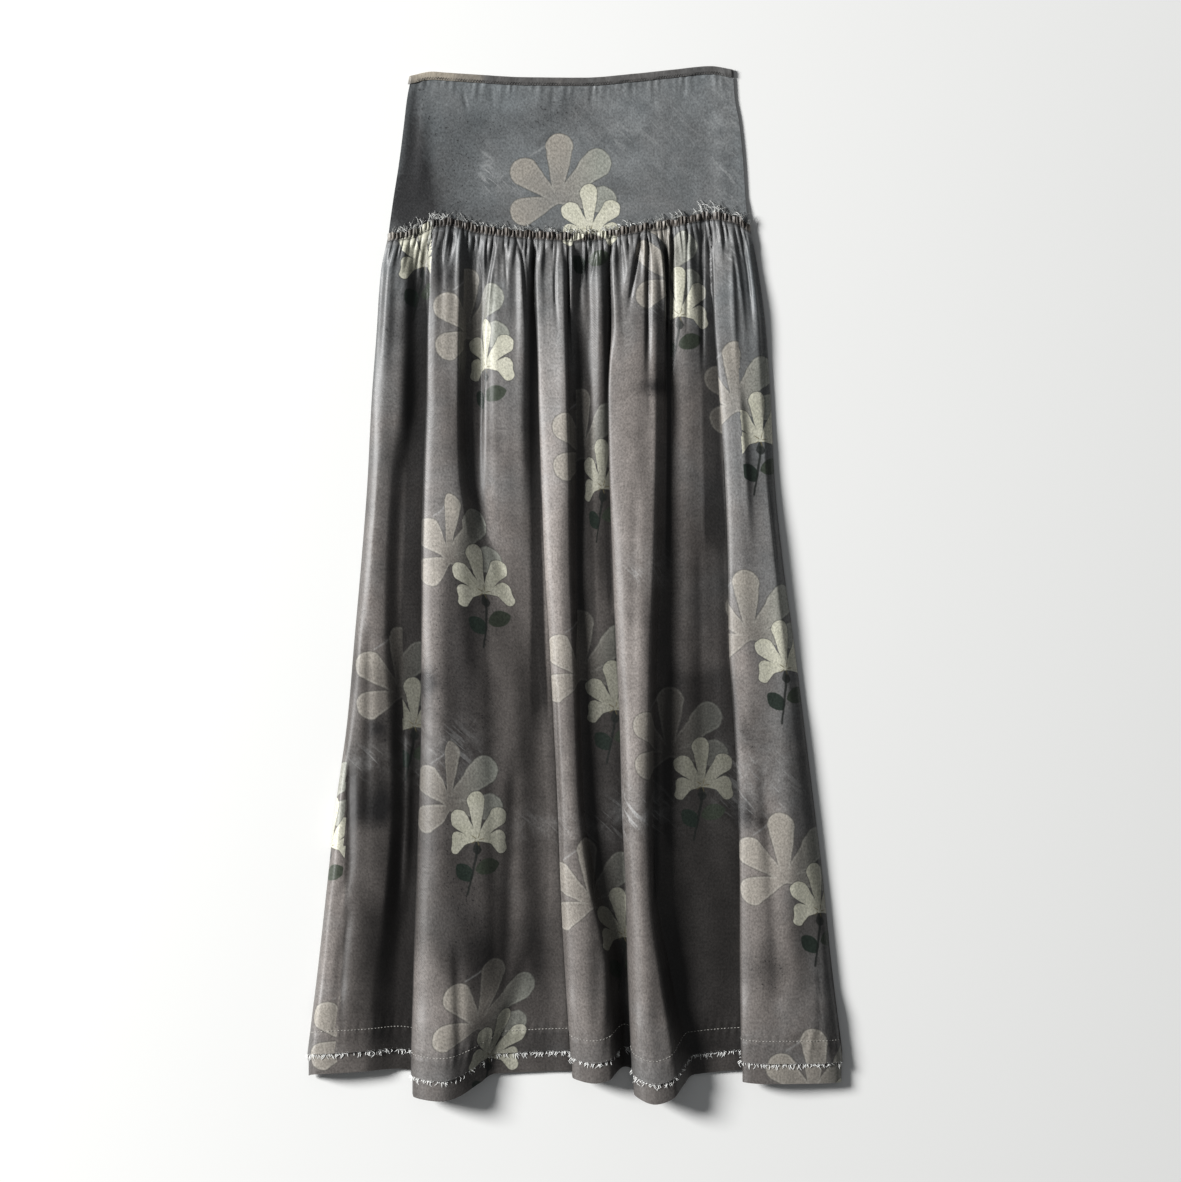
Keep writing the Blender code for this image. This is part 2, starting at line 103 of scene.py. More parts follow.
ridgeColumns = "down side fold1 fold2 fold3 fold4 lap".split()
ridgeRows = (
    (169, 1.0, 1.5, 1.5, 1.5, 1.5, 0.0),
    (204, 3.0, 6.5, 6.0, 7.0, 5.5, 0.0),
    (264, 5.0, 10.0, 9.0, 11.0, 8.0, 4.0),
    (334, 7.0, 12.5, 10.5, 14.0, 9.5, 8.0),
    (414, 8.0, 14.5, 11.5, 16.0, 10.5, 10.5),
    (494, 9.0, 16.5, 12.5, 17.5, 11.5, 12.0),
    (574, 10.0, 18.0, 13.0, 19.0, 12.0, 13.0),
    (654, 10.5, 19.5, 13.5, 20.0, 12.5, 14.0),
    (734, 11.0, 21.0, 14.0, 21.5, 13.0, 15.0),
    (814, 12.0, 22.5, 15.0, 22.5, 13.5, 16.0),
    (894, 13.0, 24.0, 16.5, 24.0, 14.0, 17.0),
    (984, 13.0, 25.0, 18.0, 26.0, 14.5, 18.0),
)
lapShares = (1.0, 0.75, 1.0, 0.85)

# How far the hem hangs below its mean line at the named points of a section
hemDrops = {
    "left": 5, "shoulder": 0, "foot0": -2,
    "under1": 3, "lip1": 22, "crest1": 28, "foot1": 3,
    "under2": 0, "lip2": 4, "crest2": 11, "foot2": -4,
    "under3": 0, "lip3": 17, "crest3": 31, "foot3": 4,
    "under4": -1, "lip4": 9, "crest4": 12, "right": 11,
}


def curveThrough(knots, values, at):
    # A smooth curve through the points that never swings past a neighbour
    knots = np.asarray(knots, float)
    values = np.asarray(values, float)
    widths = np.diff(knots)
    chords = np.diff(values) / widths
    slopes = np.zeros(len(knots))
    slopes[0], slopes[-1] = chords[0], chords[-1]
    product = chords[:-1] * chords[1:]
    total = chords[:-1] + chords[1:]
    turning = (product <= 0) | (total == 0)
    slopes[1:-1] = np.where(turning, 0.0, 2 * product / np.where(turning, 1.0, total))
    at = np.clip(at, knots[0], knots[-1])
    span = np.clip(np.searchsorted(knots, at, side="right") - 1, 0, len(knots) - 2)
    t = (at - knots[span]) / widths[span]
    start = (1 + 2 * t) * (1 - t) ** 2 * values[span]
    startSlope = t * (1 - t) ** 2 * widths[span] * slopes[span]
    end = t * t * (3 - 2 * t) * values[span + 1]
    endSlope = t * t * (1 - t) * widths[span] * slopes[span + 1]
    return start + startSlope + end - endSlope


def ease(value, start, end):
    # 0 before start, 1 after end and a soft step between them
    t = np.clip((value - start) / (end - start), 0.0, 1.0)
    return t * t * (3 - 2 * t)


def read(table, columns, by, name, at):
    rows = np.array(table, float)
    return curveThrough(rows[:, columns.index(by)], rows[:, columns.index(name)], at)


def waistDown(across):
    return read(topLines, topColumns, "across", "waist", across)


def seamLine(across):
    return read(topLines, topColumns, "across", "seam", across)


def between(start, end, share):
    return start + (end - start) * share


def seamCurve(across, down):
    # The seam isn't straight, and the rows under it follow its line less and less
    fadeStarts, fadeEnds = seamDown + 60, seamDown + 420
    return (seamLine(across) - seamDown) * (1 - ease(down, fadeStarts, fadeEnds))


def lengthAlong(points):
    return np.concatenate(([0], np.cumsum(np.linalg.norm(np.diff(points, axis=0), axis=1))))


# A lapped fold: its lip's height as a share of the fold's and a little more, and the turn and the
# roll as shares of the lip's height
lapForm = {"lip": 0.45, "lipMore": 2.2, "turn": 0.18, "roll": 0.32, "rise": 0.72}


def lapPoints(lip, crest, height, lap):
    # The floor runs in under the fold, turns back to the lip, rolls over it and rises to the crest
    lipTop = lapForm["lip"] * height + lapForm["lipMore"] * min(1.0, height / 5)
    turn = lapForm["turn"] * lipTop
    roll = lapForm["roll"] * lipTop
    low = 2 * turn
    corner = 1 - math.sqrt(0.5)
    # Name, place across, rise, and how far right of the lip it lies where nothing laps
    rows = (
        ("in", lip + 0.35 * lap - 5.0, 0.0, -5.0),
        ("under", lip + lap - turn, 0.0, -3.4),
        ("turn", lip + lap, turn, -2.4),
        ("back", lip + lap - turn, low, -1.7),
        ("return", lip + roll + 0.2 * max(lap - turn - roll, 0.0), low, -1.1),
        ("tuck", lip + corner * roll, low + corner * roll, -0.6),
        ("lip", lip, low + roll, 0.0),
        ("roll", lip + corner * roll, low + (2 - corner) * roll, 1.0),
    )
    lapped = float(ease(lap, 0.5, 2.2 * (turn + roll)))
    points = [
        (name, lapped * across + (1 - lapped) * (lip + slope), rise) for name, across, rise, slope in rows
    ]
    points.append(("rise", lip + 0.5 * (crest - lip), lipTop + lapForm["rise"] * (height - lipTop)))
    points.append(("crest", crest, height))
    return points


# Both sides of a section: each point's name, its place from the edge and its share of the height
leftSide = (("left", 0.0, 0.0), ("leftRoll", 1.8, 0.38), ("leftTop", 7.0, 0.82))
rightSide = (("rightTop", -6.0, 0.44), ("rightRoll", -1.6, 0.2), ("right", 0.0, 0.0))
# Right of a crest: each point's share of the width to the foot and of the height, and how much more
# of each where that side is steep. The last fold falls to the skirt's edge instead.
crestSide = (("brow", 0.40, 0.16, 0.74, 0.12), ("slope", 0.78, 0.0, 0.27, 0.1))
steepWidths = (25.0, 60.0)
lastSide = (("plane", 0.40, 0.84), ("fall", 0.76, 0.66))


class Section:
    # The middle line of the front's wall across the skirt, at one distance down

    def __init__(self, down):
        down = max(down, sectionRows[0][0])
        at, rise = [
            {name: float(read(table, columns, "down", name, down)) for name in columns[1:]}
            for table, columns in ((sectionRows, sectionColumns), (ridgeRows, ridgeColumns))
        ]
        side = rise["side"]
        points = [(name, at["left"] + inward, share * side) for name, inward, share in leftSide]
        points.append(("side", 0.5 * (at["left"] + at["shoulder"]), side))
        points.append(("shoulder", at["shoulder"], 0.86 * side))
        points.append(("foot0", at["foot0"], 0.03 * side))
        for number, share in enumerate(lapShares, start=1):
            height = rise[f"fold{number}"]
            lip, crest = at[f"lip{number}"], at[f"crest{number}"]
            lapped = lapPoints(lip, crest, height, rise["lap"] * share)
            before, start = points[-1][1], lapped[0][1]
            if number > 1:
                for name, part in (("near", 1 / 3), ("far", 2 / 3)):
                    points.append((f"{name}{number}", before + part * (start - before), 0.0))
            points += [(f"{name}{number}", across, z) for name, across, z in lapped]
            if number < len(lapShares):
                width = at[f"foot{number}"] - crest
                steep = 1 - float(ease(width, *steepWidths))
                for name, out, outMore, up, upMore in crestSide:
                    across = crest + width * (out + outMore * steep)
                    points.append((f"{name}{number}", across, height * (up + upMore * steep)))
                points.append((f"foot{number}", at[f"foot{number}"], 0.03 * height))
        width = at["right"] - crest
        points += [(name, crest + out * width, up * height) for name, out, up in lastSide]
        points += [(name, at["right"] + inward, share * height) for name, inward, share in rightSide]
        self.names = [name for name, across, z in points]
        self.across = np.array([across for name, across, z in points])
        self.rise = np.array([z for name, across, z in points])
        steps = np.hypot(np.diff(self.across), np.diff(self.rise))
        self.chord = np.concatenate(([0], np.cumsum(steps + 0.2)))
        # Marks count the named points. These lie close together.
        self.fineMarks = np.arange((len(self.names) - 1) * 12 + 1) / 12

    def formAt(self, marks):
        # across and rise at marks, which count the named points
        where = np.interp(marks, np.arange(len(self.names)), self.chord)
        return (
            curveThrough(self.chord, self.across, where),
            curveThrough(self.chord, self.rise, where),
        )

    def normals(self, marks):
        step = 0.04
        last = len(self.names) - 1
        ahead = self.formAt(np.minimum(marks + step, last))
        behind = self.formAt(np.maximum(marks - step, 0))
        run, climb = ahead[0] - behind[0], ahead[1] - behind[1]
        length = np.hypot(run, climb)
        return -climb / length, run / length

    def marksAcross(self, places):
        fine = self.fineMarks
        across = np.maximum.accumulate(self.formAt(fine)[0] + 1e-6 * np.arange(len(fine)))
        marks = np.interp(places, across, fine)
        marks[0], marks[-1] = fine[0], fine[-1]
        return marks

    def markSeen(self, across):
        # The mark of the uppermost cloth at a place across, where folds lap over
        places, rises = self.formAt(self.fineMarks)
        crossing = np.flatnonzero((places[:-1] - across) * (places[1:] - across) <= 0)
        top = crossing[np.argmax(rises[crossing])] if len(crossing) else np.argmin(abs(places - across))
        return self.fineMarks[top]


def marksByLength(downs, longest):
    # Marks no further apart than the longest step, in any of the sections at these distances down
    lengths = np.max([np.diff(Section(down).chord) for down in downs], axis=0)
    marks = []
    for span, length in enumerate(lengths):
        count = max(1, math.ceil((length - 0.5 * longest) / longest))
        marks += list(span + np.arange(count) / count)
    return np.array(marks + [float(len(lengths))])


# Lesser ridges (height over 0) and creases (under 0): across and down of the start, middle and
# end of each, its half width and its height. The first group is in the solid too.
creases = (
    (-66, 172, -68, 314, -65, 554, 17, 7.0),
    (-3, 176, -3, 224, -2, 274, 5, 3.0),
    (24, 175, 26, 324, 29, 474, 9, 6.0),
    (112, 165, 111, 264, 112, 394, 13, 6.0),
    (112, 354, 113, 574, 115, 794, 11, 2.5),
    (62, 172, 53, 214, 47, 254, 5, 2.0),
    (164, 168, 173, 224, 178, 284, 4, -2.5),
    (-227, 694, -226, 794, -247, 884, 6, -3.0),
    (-226, 834, -234, 914, -237, 1004, 6, -3.0),
    (-95, 600, -92, 780, -90, 960, 13, 2.0),
    (205, 640, 214, 800, 222, 990, 12, 2.5),
    # Broad tops: the folds and ridges stay high nearly to their right edges
    (-8, 176, -9, 330, -6, 500, 8, 4.5),
    (82, 178, 84, 330, 82, 470, 8, 5.0),
    (-52, 176, -52, 330, -50, 520, 8, 4.5),
    (-80, 200, -82, 360, -80, 540, 7, 3.0),
    (-118, 176, -117, 300, -116, 430, 6, 2.2),
    (-176, 180, -172, 300, -176, 460, 9, 2.6),
    # Left part and the first fold
    (-172, 168, -176, 200, -180, 236, 3, 1.2),
    (-120, 160, -122, 184, -128, 220, 2.2, -2.4),
    (-115, 164, -117, 224, -114, 290, 3, 1.6),
    (-137, 170, -138, 260, -140, 360, 4, 1.0),
    (-103, 168, -97, 200, -91, 226, 1.6, -1.8),
    (-88, 170, -91, 196, -90, 222, 2.4, 2.6),
    # The second ridge, with its sharp left edge
    (-76, 168, -84, 219, -90, 290, 2.2, 2.4),
    (-90, 262, -90, 384, -87, 520, 4, 2.2),
    (-96, 200, -95, 290, -93, 440, 3.4, -3.0),
    (-59, 172, -52, 194, -48, 270, 1.8, -2.6),
    (-45, 172, -45, 195, -44, 224, 2, 2.0),
    (-70, 172, -69, 200, -68, 236, 1.8, -1.4),
    (-20, 172, -20, 215, -17, 275, 1.6, -1.6),
    (-8, 172, -7.5, 250, -6, 390, 1.8, -3.0),
    # The middle ridge and the third fold
    (22, 172, 20, 190, 16, 214, 1.6, -1.6),
    (36, 172, 37, 232, 35, 300, 2, -2.2),
    (67, 168, 59, 214, 51, 262, 2, -2.6),
    (70, 166, 69, 200, 67, 244, 3, 2.0),
    (73, 176, 73, 260, 71, 346, 2.6, -3.0),
    (91, 164, 91, 260, 89, 376, 1.7, -3.0),
    (94, 164, 94, 200, 93, 240, 1.8, 2.4),
    (97, 164, 97, 250, 96, 350, 1.7, -3.0),
    (112, 164, 112, 220, 111, 300, 1.5, -1.6),
    (127, 160, 127, 240, 128, 350, 2, -3.0),
    # The fourth fold: a lit ridge line between its left plane and the darker right one
    (156, 184, 158, 260, 163, 340, 3, 2.0),
    (163, 330, 170, 414, 176, 500, 4, 1.8),
    (165, 166, 174, 224, 179, 290, 1.8, -1.6),
    (147, 160, 148, 190, 150, 226, 2, -1.6),
    # Long shallow creases lower down
    (-20, 620, -13, 804, -5, 984, 1.6, -1.8),
    (-166, 660, -170, 804, -187, 900, 5, 2.6),
    (-118, 420, -110, 600, -104, 780, 9, 1.4),
    (10, 300, 12, 420, 14, 560, 5, 1.2),
    (60, 420, 58, 560, 60, 700, 5, -1.4),
    (128, 480, 132, 640, 134, 820, 8, -1.6),
    (192, 360, 203, 520, 212, 700, 7, 1.6),
    (186, 700, 196, 820, 204, 984, 6, -1.6),
    (243, 880, 243, 930, 244, 1000, 1.2, -1.0),
    (237, 946, 234, 965, 230, 1000, 2.6, 0.9),
    (248, 946, 251, 965, 255, 1000, 2.6, 0.9),
    (-206, 560, -207, 700, -210, 820, 5, -1.8),
    (-60, 700, -66, 840, -72, 984, 7, -1.6),
    (-118, 860, -115, 930, -114, 1000, 5, -2.2),
    (84, 860, 92, 930, 100, 1000, 6, 2.0),
    (30, 880, 28, 930, 24, 990, 5, 1.6),
)

# Each wave's size and own reach: the middle value, its swing, and the swing's turn and start
gathers = {
    "fine": {
        "count": 62, "uneven": 0.3, "depth": 2.3, "reach": 36.0,
        "size": (0.84, 0.3, 1.9, 0.7), "ownReach": (0.85, 0.5, 2.7, 0.4),
        "opens": (6, 34), "fadesFrom": 0.15,
    },
    "wide": {
        "count": 25, "uneven": 0.36, "depth": 2.6, "reach": 120.0,
        "size": (0.8, 0.35, 2.1, 1.3), "ownReach": (0.9, 0.45, 1.3, 2.0),
        "opens": (5, 26), "fadesFrom": 0.35,
    },
    "stitchDepth": 0.9,
    "pleatPower": 0.8,
    "headerHeight": 8.0,
    "headerDepth": 2.9,
    "headerRibs": 1.7,
    "headerLean": 0.8,
    # The waves of the frill's edge: height, turn and start
    "headerEdge": ((0.9, math.pi, 0.6), (0.7, 1.9, 0.0)),
}
header = gathers["headerHeight"]

hem = {
    "bandShows": 20.0,
    "bandOverlap": 23.0,
    "bandGap": 0.5,
    "backShorter": 10.0,
    "dropStarts": 640.0,
    "dropPower": 1.4,
    "stitchAbove": 22.5,
    "puckerEvery": 8.5,
    "puckerDepth": 0.28,
    "puckerReach": 9.0,
    "grooveDepth": 0.45,
    "grooveHalf": 1.6,
}


# A crease fades in from so far before its start to so far after it, and out from a share of its length
creaseFade = {"before": 12, "after": 25, "outFrom": 0.45}


def creaseLift(across, down, table=creases):
    lift = np.zeros_like(across)
    for across0, down0, across1, down1, across2, down2, halfWidth, height in table:
        line = curveThrough((down0, down1, down2), (across0, across1, across2), down)
        fadeIn = ease(down, down0 - creaseFade["before"], down0 + creaseFade["after"])
        fadeOut = 1 - ease(down, down0 + creaseFade["outFrom"] * (down2 - down0), down2)
        away = (across - line) / halfWidth
        lift = lift + height * fadeIn * fadeOut * np.exp(-away * away)
    return lift


def countWaves(across, low, high, wave):
    # How many waves of uneven width lie left of each place
    turn = np.arange(wave["count"])
    widths = 1 + wave["uneven"] * (np.sin(2.4 * turn) + 0.5 * np.sin(5.1 * turn + 1))
    edges = low + (high - low) * np.concatenate(([0], np.cumsum(widths))) / widths.sum()
    return np.interp(across, edges, np.arange(wave["count"] + 1))


def varied(number, numbers):
    # Each wave's own share: the middle value, its swing, and the swing's turn and start
    middle, swing, turn, start = numbers
    return middle + swing * np.sin(turn * number + start)


def gatherLift(across, below, low, high):
    # They start as narrow pleats with sharp valleys and open out into soft waves. Above the seam
    # they turn to finer ribs.
    fine, wide, stitchDepth = gathers["fine"], gathers["wide"], gathers["stitchDepth"]
    phase = countWaves(across, low, high, fine)
    number = np.floor(phase)
    pleat = np.abs(np.sin(math.pi * phase)) ** gathers["pleatPower"]
    size = varied(number, fine["size"])
    if below < 0:
        depth = between(stitchDepth, gathers["headerDepth"], ease(-below, 0, 4))
        rib = np.abs(np.sin(math.pi * phase * gathers["headerRibs"])) ** gathers["pleatPower"]
        return between(pleat, rib, ease(-below, 0, 2.5)) * depth * size
    if below > 2 * wide["reach"]:
        return np.zeros_like(across)
    reach = fine["reach"] * varied(number, fine["ownReach"])
    depth = between(stitchDepth, fine["depth"], ease(below, 0, 8))
    wave = between(pleat, np.sin(math.pi * phase) ** 2, ease(below, *fine["opens"]))
    lift = wave * depth * size * (1 - ease(below, fine["fadesFrom"] * reach, reach))
    phase = countWaves(across, low, high, wide)
    number = np.floor(phase)
    reach = wide["reach"] * varied(number, wide["ownReach"])
    fade = 1 - ease(below, wide["fadesFrom"] * reach, reach)
    swell = wide["depth"] * ease(below, *wide["opens"]) * fade
    return lift + np.sin(math.pi * phase) ** 2 * varied(number, wide["size"]) * swell


# Faint unevenness that any laid cloth has: each wave's height, its widths across and down, and how
# it winds: how much, its own width down and its start
slackWaves = (
    (0.45, 17, math.inf, 1.3, 61, 0.4),
    (0.35, 9.5, 140, 2.0, 83, 2.0),
    (0.25, 5.7, -57, 1.7, 37, 0.0),
)


def slackLift(across, down):
    lift = np.zeros_like(across)
    for height, wide, tall, winding, windingTall, start in slackWaves:
        turn = across / wide + down / tall + winding * np.sin(down / windingTall + start)
        lift = lift + height * np.sin(turn)
    return lift


def hemLift(along, above):
    # The sewn line near the raw edge: a narrow groove, with small puckers on both sides of it
    away = above - hem["stitchAbove"]
    ripple = np.sin(2 * math.pi * along / hem["puckerEvery"] + 1.5 * np.sin(along / 31))
    puckers = hem["puckerDepth"] * ripple * np.exp(-((away / hem["puckerReach"]) ** 2))
    return puckers - hem["grooveDepth"] * np.exp(-((away / hem["grooveHalf"]) ** 2))


front = {
    # How far under the seam it comes down off the yokes, and how far above the raw edge it rises on
    # to the bands
    "offYoke": (7, 33),
    "ontoBand": (80, 44),
    # Gathers and creases fade out so near both sides, and the slack fades in so far under the seam
    "flatEdge": 7,
    "slackFrom": (10, 60),
}


def frontFloor(down):
    # Middle of the front's wall where it lies lowest: on the yokes, on the back, on the bands
    onBack = layer + 0.5 * solidWall
    onYoke = 3 * layer + 0.5 * solidWall
    onBand = 2 * layer + solidWall + hem["bandGap"] + 0.5 * solidWall
    offYoke = ease(down, *[seamDown + below for below in front["offYoke"]])
    ontoBand = ease(down, *[rawEdgeDown - above for above in front["ontoBand"]])
    return between(onYoke, onBack, offYoke) + (onBand - onBack) * ontoBand


def frontRow(down, marks, inward=0.0):
    # Outer and inner points of one row of the front cloth, and how far along the cloth each lies
    section = Section(down)
    across, rise = section.formAt(marks)
    normalAcross, normalUp = section.normals(marks)
    facingUp = np.clip(normalUp, 0, 1)
    low, high = section.across[0], section.across[-1]
    edge = ease(np.minimum(across - low, high - across), 0, front["flatEdge"])
    below = down - seamDown
    relief = np.maximum(creaseLift(across, down) * facingUp, -0.8 * rise - 0.5)
    slack = slackLift(across, down) * ease(below, *front["slackFrom"]) * facingUp
    lift = (relief + gatherLift(across, below, low, high) + slack) * edge
    lift = lift + hemLift(lengthAlong(np.stack([across, rise], 1)), rawEdgeDown - down)
    drops = curveThrough([section.names.index(name) for name in hemDrops], list(hemDrops.values()), marks)
    drop = drops * ease(down, hem["dropStarts"], rawEdgeDown - 10) ** hem["dropPower"]
    y = halfLength - down - seamCurve(across, down) - drop
    if below < 0:
        # The frill leans and its raw edge is uneven
        phase = countWaves(across, low, high, gathers["fine"])
        out = ease(-below, 0, header) * edge
        lean = np.sin(2 * math.pi * phase + np.sin(0.9 * np.floor(phase)))
        across = across + gathers["headerLean"] * out * lean
        y = y + out * sum(size * np.sin(turn * phase + start) for size, turn, start in gathers["headerEdge"])
    z = float(frontFloor(down)) + rise
    outside = lift + 0.5 * solidWall - inward
    outer, inner = [
        np.stack([across + normalAcross * offset, y, z + normalUp * offset], 1)
        for offset in (outside, outside - clothWall)
    ]
    return outer, inner, lengthAlong(outer)


def stitchRows(first, firstKeys, second, secondKeys):
    # Faces between two rows of points whose keys may differ in number
    faces = []
    i, j = 0, 0
    while i < len(first) - 1 or j < len(second) - 1:
        nextFirst = firstKeys[i + 1] if i < len(first) - 1 else np.inf
        nextSecond = secondKeys[j + 1] if j < len(second) - 1 else np.inf
        if abs(nextFirst - nextSecond) < 1e-6:
            faces.append((first[i], second[j], second[j + 1], first[i + 1]))
            i += 1
            j += 1
        elif nextFirst < nextSecond:
            faces.append((first[i], second[j], first[i + 1]))
            i += 1
        else:
            faces.append((first[i], second[j], second[j + 1]))
            j += 1
    return faces


class Cloth:
    # Gathers the rows of a thin closed cloth, the first row at its top. Each row has points, keys
    # that pair it with the next row in its group, marks that pair it with another group, and its
    # place on the flat cloth.

    def __init__(self):
        self.points, self.flat, self.rows = [], [], {"outer": [], "inner": []}

    def addRow(self, face, points, keys, marks, flat, down):
        start = sum(len(p) for p in self.points)
        self.points.append(points)
        self.flat.append(flat)
        self.rows[face].append((list(range(start, start + len(points))), keys, marks, down))

    def join(self, first, second):
        keys = 1 if len(first[0]) == len(second[0]) else 2
        return stitchRows(first[0], first[keys], second[0], second[keys])

    def faces(self):
        # Faces of the outside, the inside and the edges all round
        outer, inner = self.rows["outer"], self.rows["inner"]
        outside = [face for a, b in zip(outer, outer[1:]) for face in self.join(a, b)]
        inside = [face[::-1] for a, b in zip(inner, inner[1:]) for face in self.join(a, b)]
        edges = []
        for side, way in ((0, 1), (-1, -1)):
            outerSide, innerSide = [row[0][side] for row in outer], [row[0][side] for row in inner]
            outerDowns, innerDowns = [row[3] for row in outer], [row[3] for row in inner]
            edges += [face[::way] for face in stitchRows(outerSide, outerDowns, innerSide, innerDowns)]
        edges += [face[::-1] for face in self.join(outer[0], inner[0])]
        edges += self.join(outer[-1], inner[-1])
        return outside + inside + edges


def addObject(name, data):
    made = bpy.data.objects.new(name, data)
    bpy.context.scene.collection.objects.link(made)
    return made


def makePiece(name, points, faces, material, sharp=70):
    mesh = bpy.data.meshes.new(name)
    mesh.from_pydata(np.asarray(points, float) * mm, [], faces)
    mesh.shade_smooth()
    mesh.set_sharp_from_angle(angle=math.radians(sharp))
    mesh.materials.append(material)
    return addObject(name, mesh)


def addMap(made, name, values):
    # values is a pair of numbers for each face corner
    layerMade = made.data.uv_layers.new(name=name)
    layerMade.data.foreach_set("uv", np.asarray(values, np.float32).ravel())


def cornerIndices(made):
    # Each face corner's point, each face's first corner, and each corner's face
    def column(items, name):
        values = np.zeros(len(items), np.int32)
        items.foreach_get(name, values)
        return values

    faces = made.data.polygons
    faceOf = np.repeat(np.arange(len(faces)), column(faces, "loop_total"))
    return column(made.data.loops, "vertex_index"), column(faces, "loop_start"), faceOf


# The print: where the small flower's centre lies on the front, across and down, and on the back
motifCentres = {
    "yoke": ((15, 166),),
    "front": (
        (15, 166), (-150, 199), (-90, 301), (105, 249), (185, 374), (28, 421), (-91, 526), (210, 602),
        (41, 642), (-160, 659), (128, 719), (-97, 772), (245, 844), (49, 869), (-85, 989), (289, 1059),
    ),
    "frontStrip": ((-249, 779), (-186, 1008)),
    "bandFront": ((289, 1059), (-85, 989)),
    "bandUnderFold": ((82, 1078),),
    "yokeBack": ((-62, 120), (70, 150)),
    "back": tuple(
        (column * 118 - 10, 210 + row * 232 + (116 if column % 2 else 0))
        for column in range(-2, 3)
        for row in range(4)
        if abs(column * 118 - 10) < 200 + 0.12 * (row * 232)
    ),
    "bandBack": ((-140, 965), (96, 985)),
}
# Cloth tucked out of sight along a line, which cuts the flowers printed across it: across and down of
# the line's start, middle and end, the length hidden, and over how much the print moves (0: at once)
tucks = (
    (-143, 165, -144, 205, -146, 330, 24.0, 0),
    (-172, 560, -172, 660, -174, 800, 20.0, 0),
    (-126, 640, -126, 740, -125, 860, 14.0, 6),
    (-127, 430, -127, 500, -127, 640, 15.0, 9),
    (-111, 170, -111, 320, -112, 490, 11.0, 0),
    (-92, 180, -92, 320, -89, 490, 11.0, 5),
    (1, 240, 1, 400, 3, 600, 13.0, 0),
    (16, 220, 16, 400, 18, 540, 11.0, 10),
    (95, 170, 95, 300, 94, 440, 22.0, 0),
    (161, 200, 165, 340, 171, 480, 8.0, 0),
)
# A tuck starts from so far before its line to so far after, and ends over its last part
tuckFade = {"before": 20, "after": 10, "last": 60}


def tuckShift(across, down, motifs, overFaces):
    # How far each motif's flower is pushed along, at each corner, by the tucks between them
    shift = np.zeros((len(motifs), len(down)))
    for across0, down0, across1, down1, across2, down2, hidden, softness in tucks:
        knots = (down0, down1, down2), (across0, across1, across2)
        reach = ease(down, down0 - tuckFade["before"], down0 + tuckFade["after"])
        reach = reach * (1 - ease(down, down2 - tuckFade["last"], down2))
        away = across - curveThrough(*knots, down)
        onRight = ease(away, -softness, softness) if softness else 1.0 * (overFaces(away) > 0)
        for motif, (middle, middleDown) in enumerate(motifs):
            motifOnRight = middle > float(curveThrough(*knots, middleDown))
            shift[motif] += hidden * reach * (onRight - motifOnRight)
    return shift


motifReach = {"across": 66.0, "down": 82.0, "middleAcross": -30.0, "middleUp": 20.0}
nowhere = 900.0


def nearestMotif(local):
    # local holds each corner's place from each motif: motifs, corners, two. Returns each metric.
    acrossShare = (local[..., 0] - motifReach["middleAcross"]) / motifReach["across"]
    upShare = (local[..., 1] - motifReach["middleUp"]) / motifReach["down"]
    return acrossShare**2 + upShare**2


def printMap(made, places, printed, motifs, tucked=False):
    # places: for each motif, each point's place from its centre. One motif serves a whole face, so
    # the pattern never smears between two of them.
    corners, starts, faceOf = cornerIndices(made)
    local = places[:, corners]
    if tucked:
        points = np.zeros(len(made.data.vertices) * 3)
        made.data.vertices.foreach_get("co", points)
        across, y, z = points.reshape(-1, 3)[corners].T / mm

        def overFaces(values):
            return np.add.reduceat(values, starts)[faceOf]

        local[..., 0] += tuckShift(across, halfLength - y, motifs, overFaces)
    metric = nearestMotif(local)
    perFace = np.add.reduceat(metric, starts, axis=1)
    chosen = perFace.argmin(0)[faceOf]
    values = local[chosen, np.arange(len(corners))]
    values[~printed[corners]] = nowhere
    addMap(made, "print", values)


def pointMap(made, name, pairs):
    # pairs is two numbers for each point
    corners, starts, faceOf = cornerIndices(made)
    addMap(made, name, np.asarray(pairs)[corners])


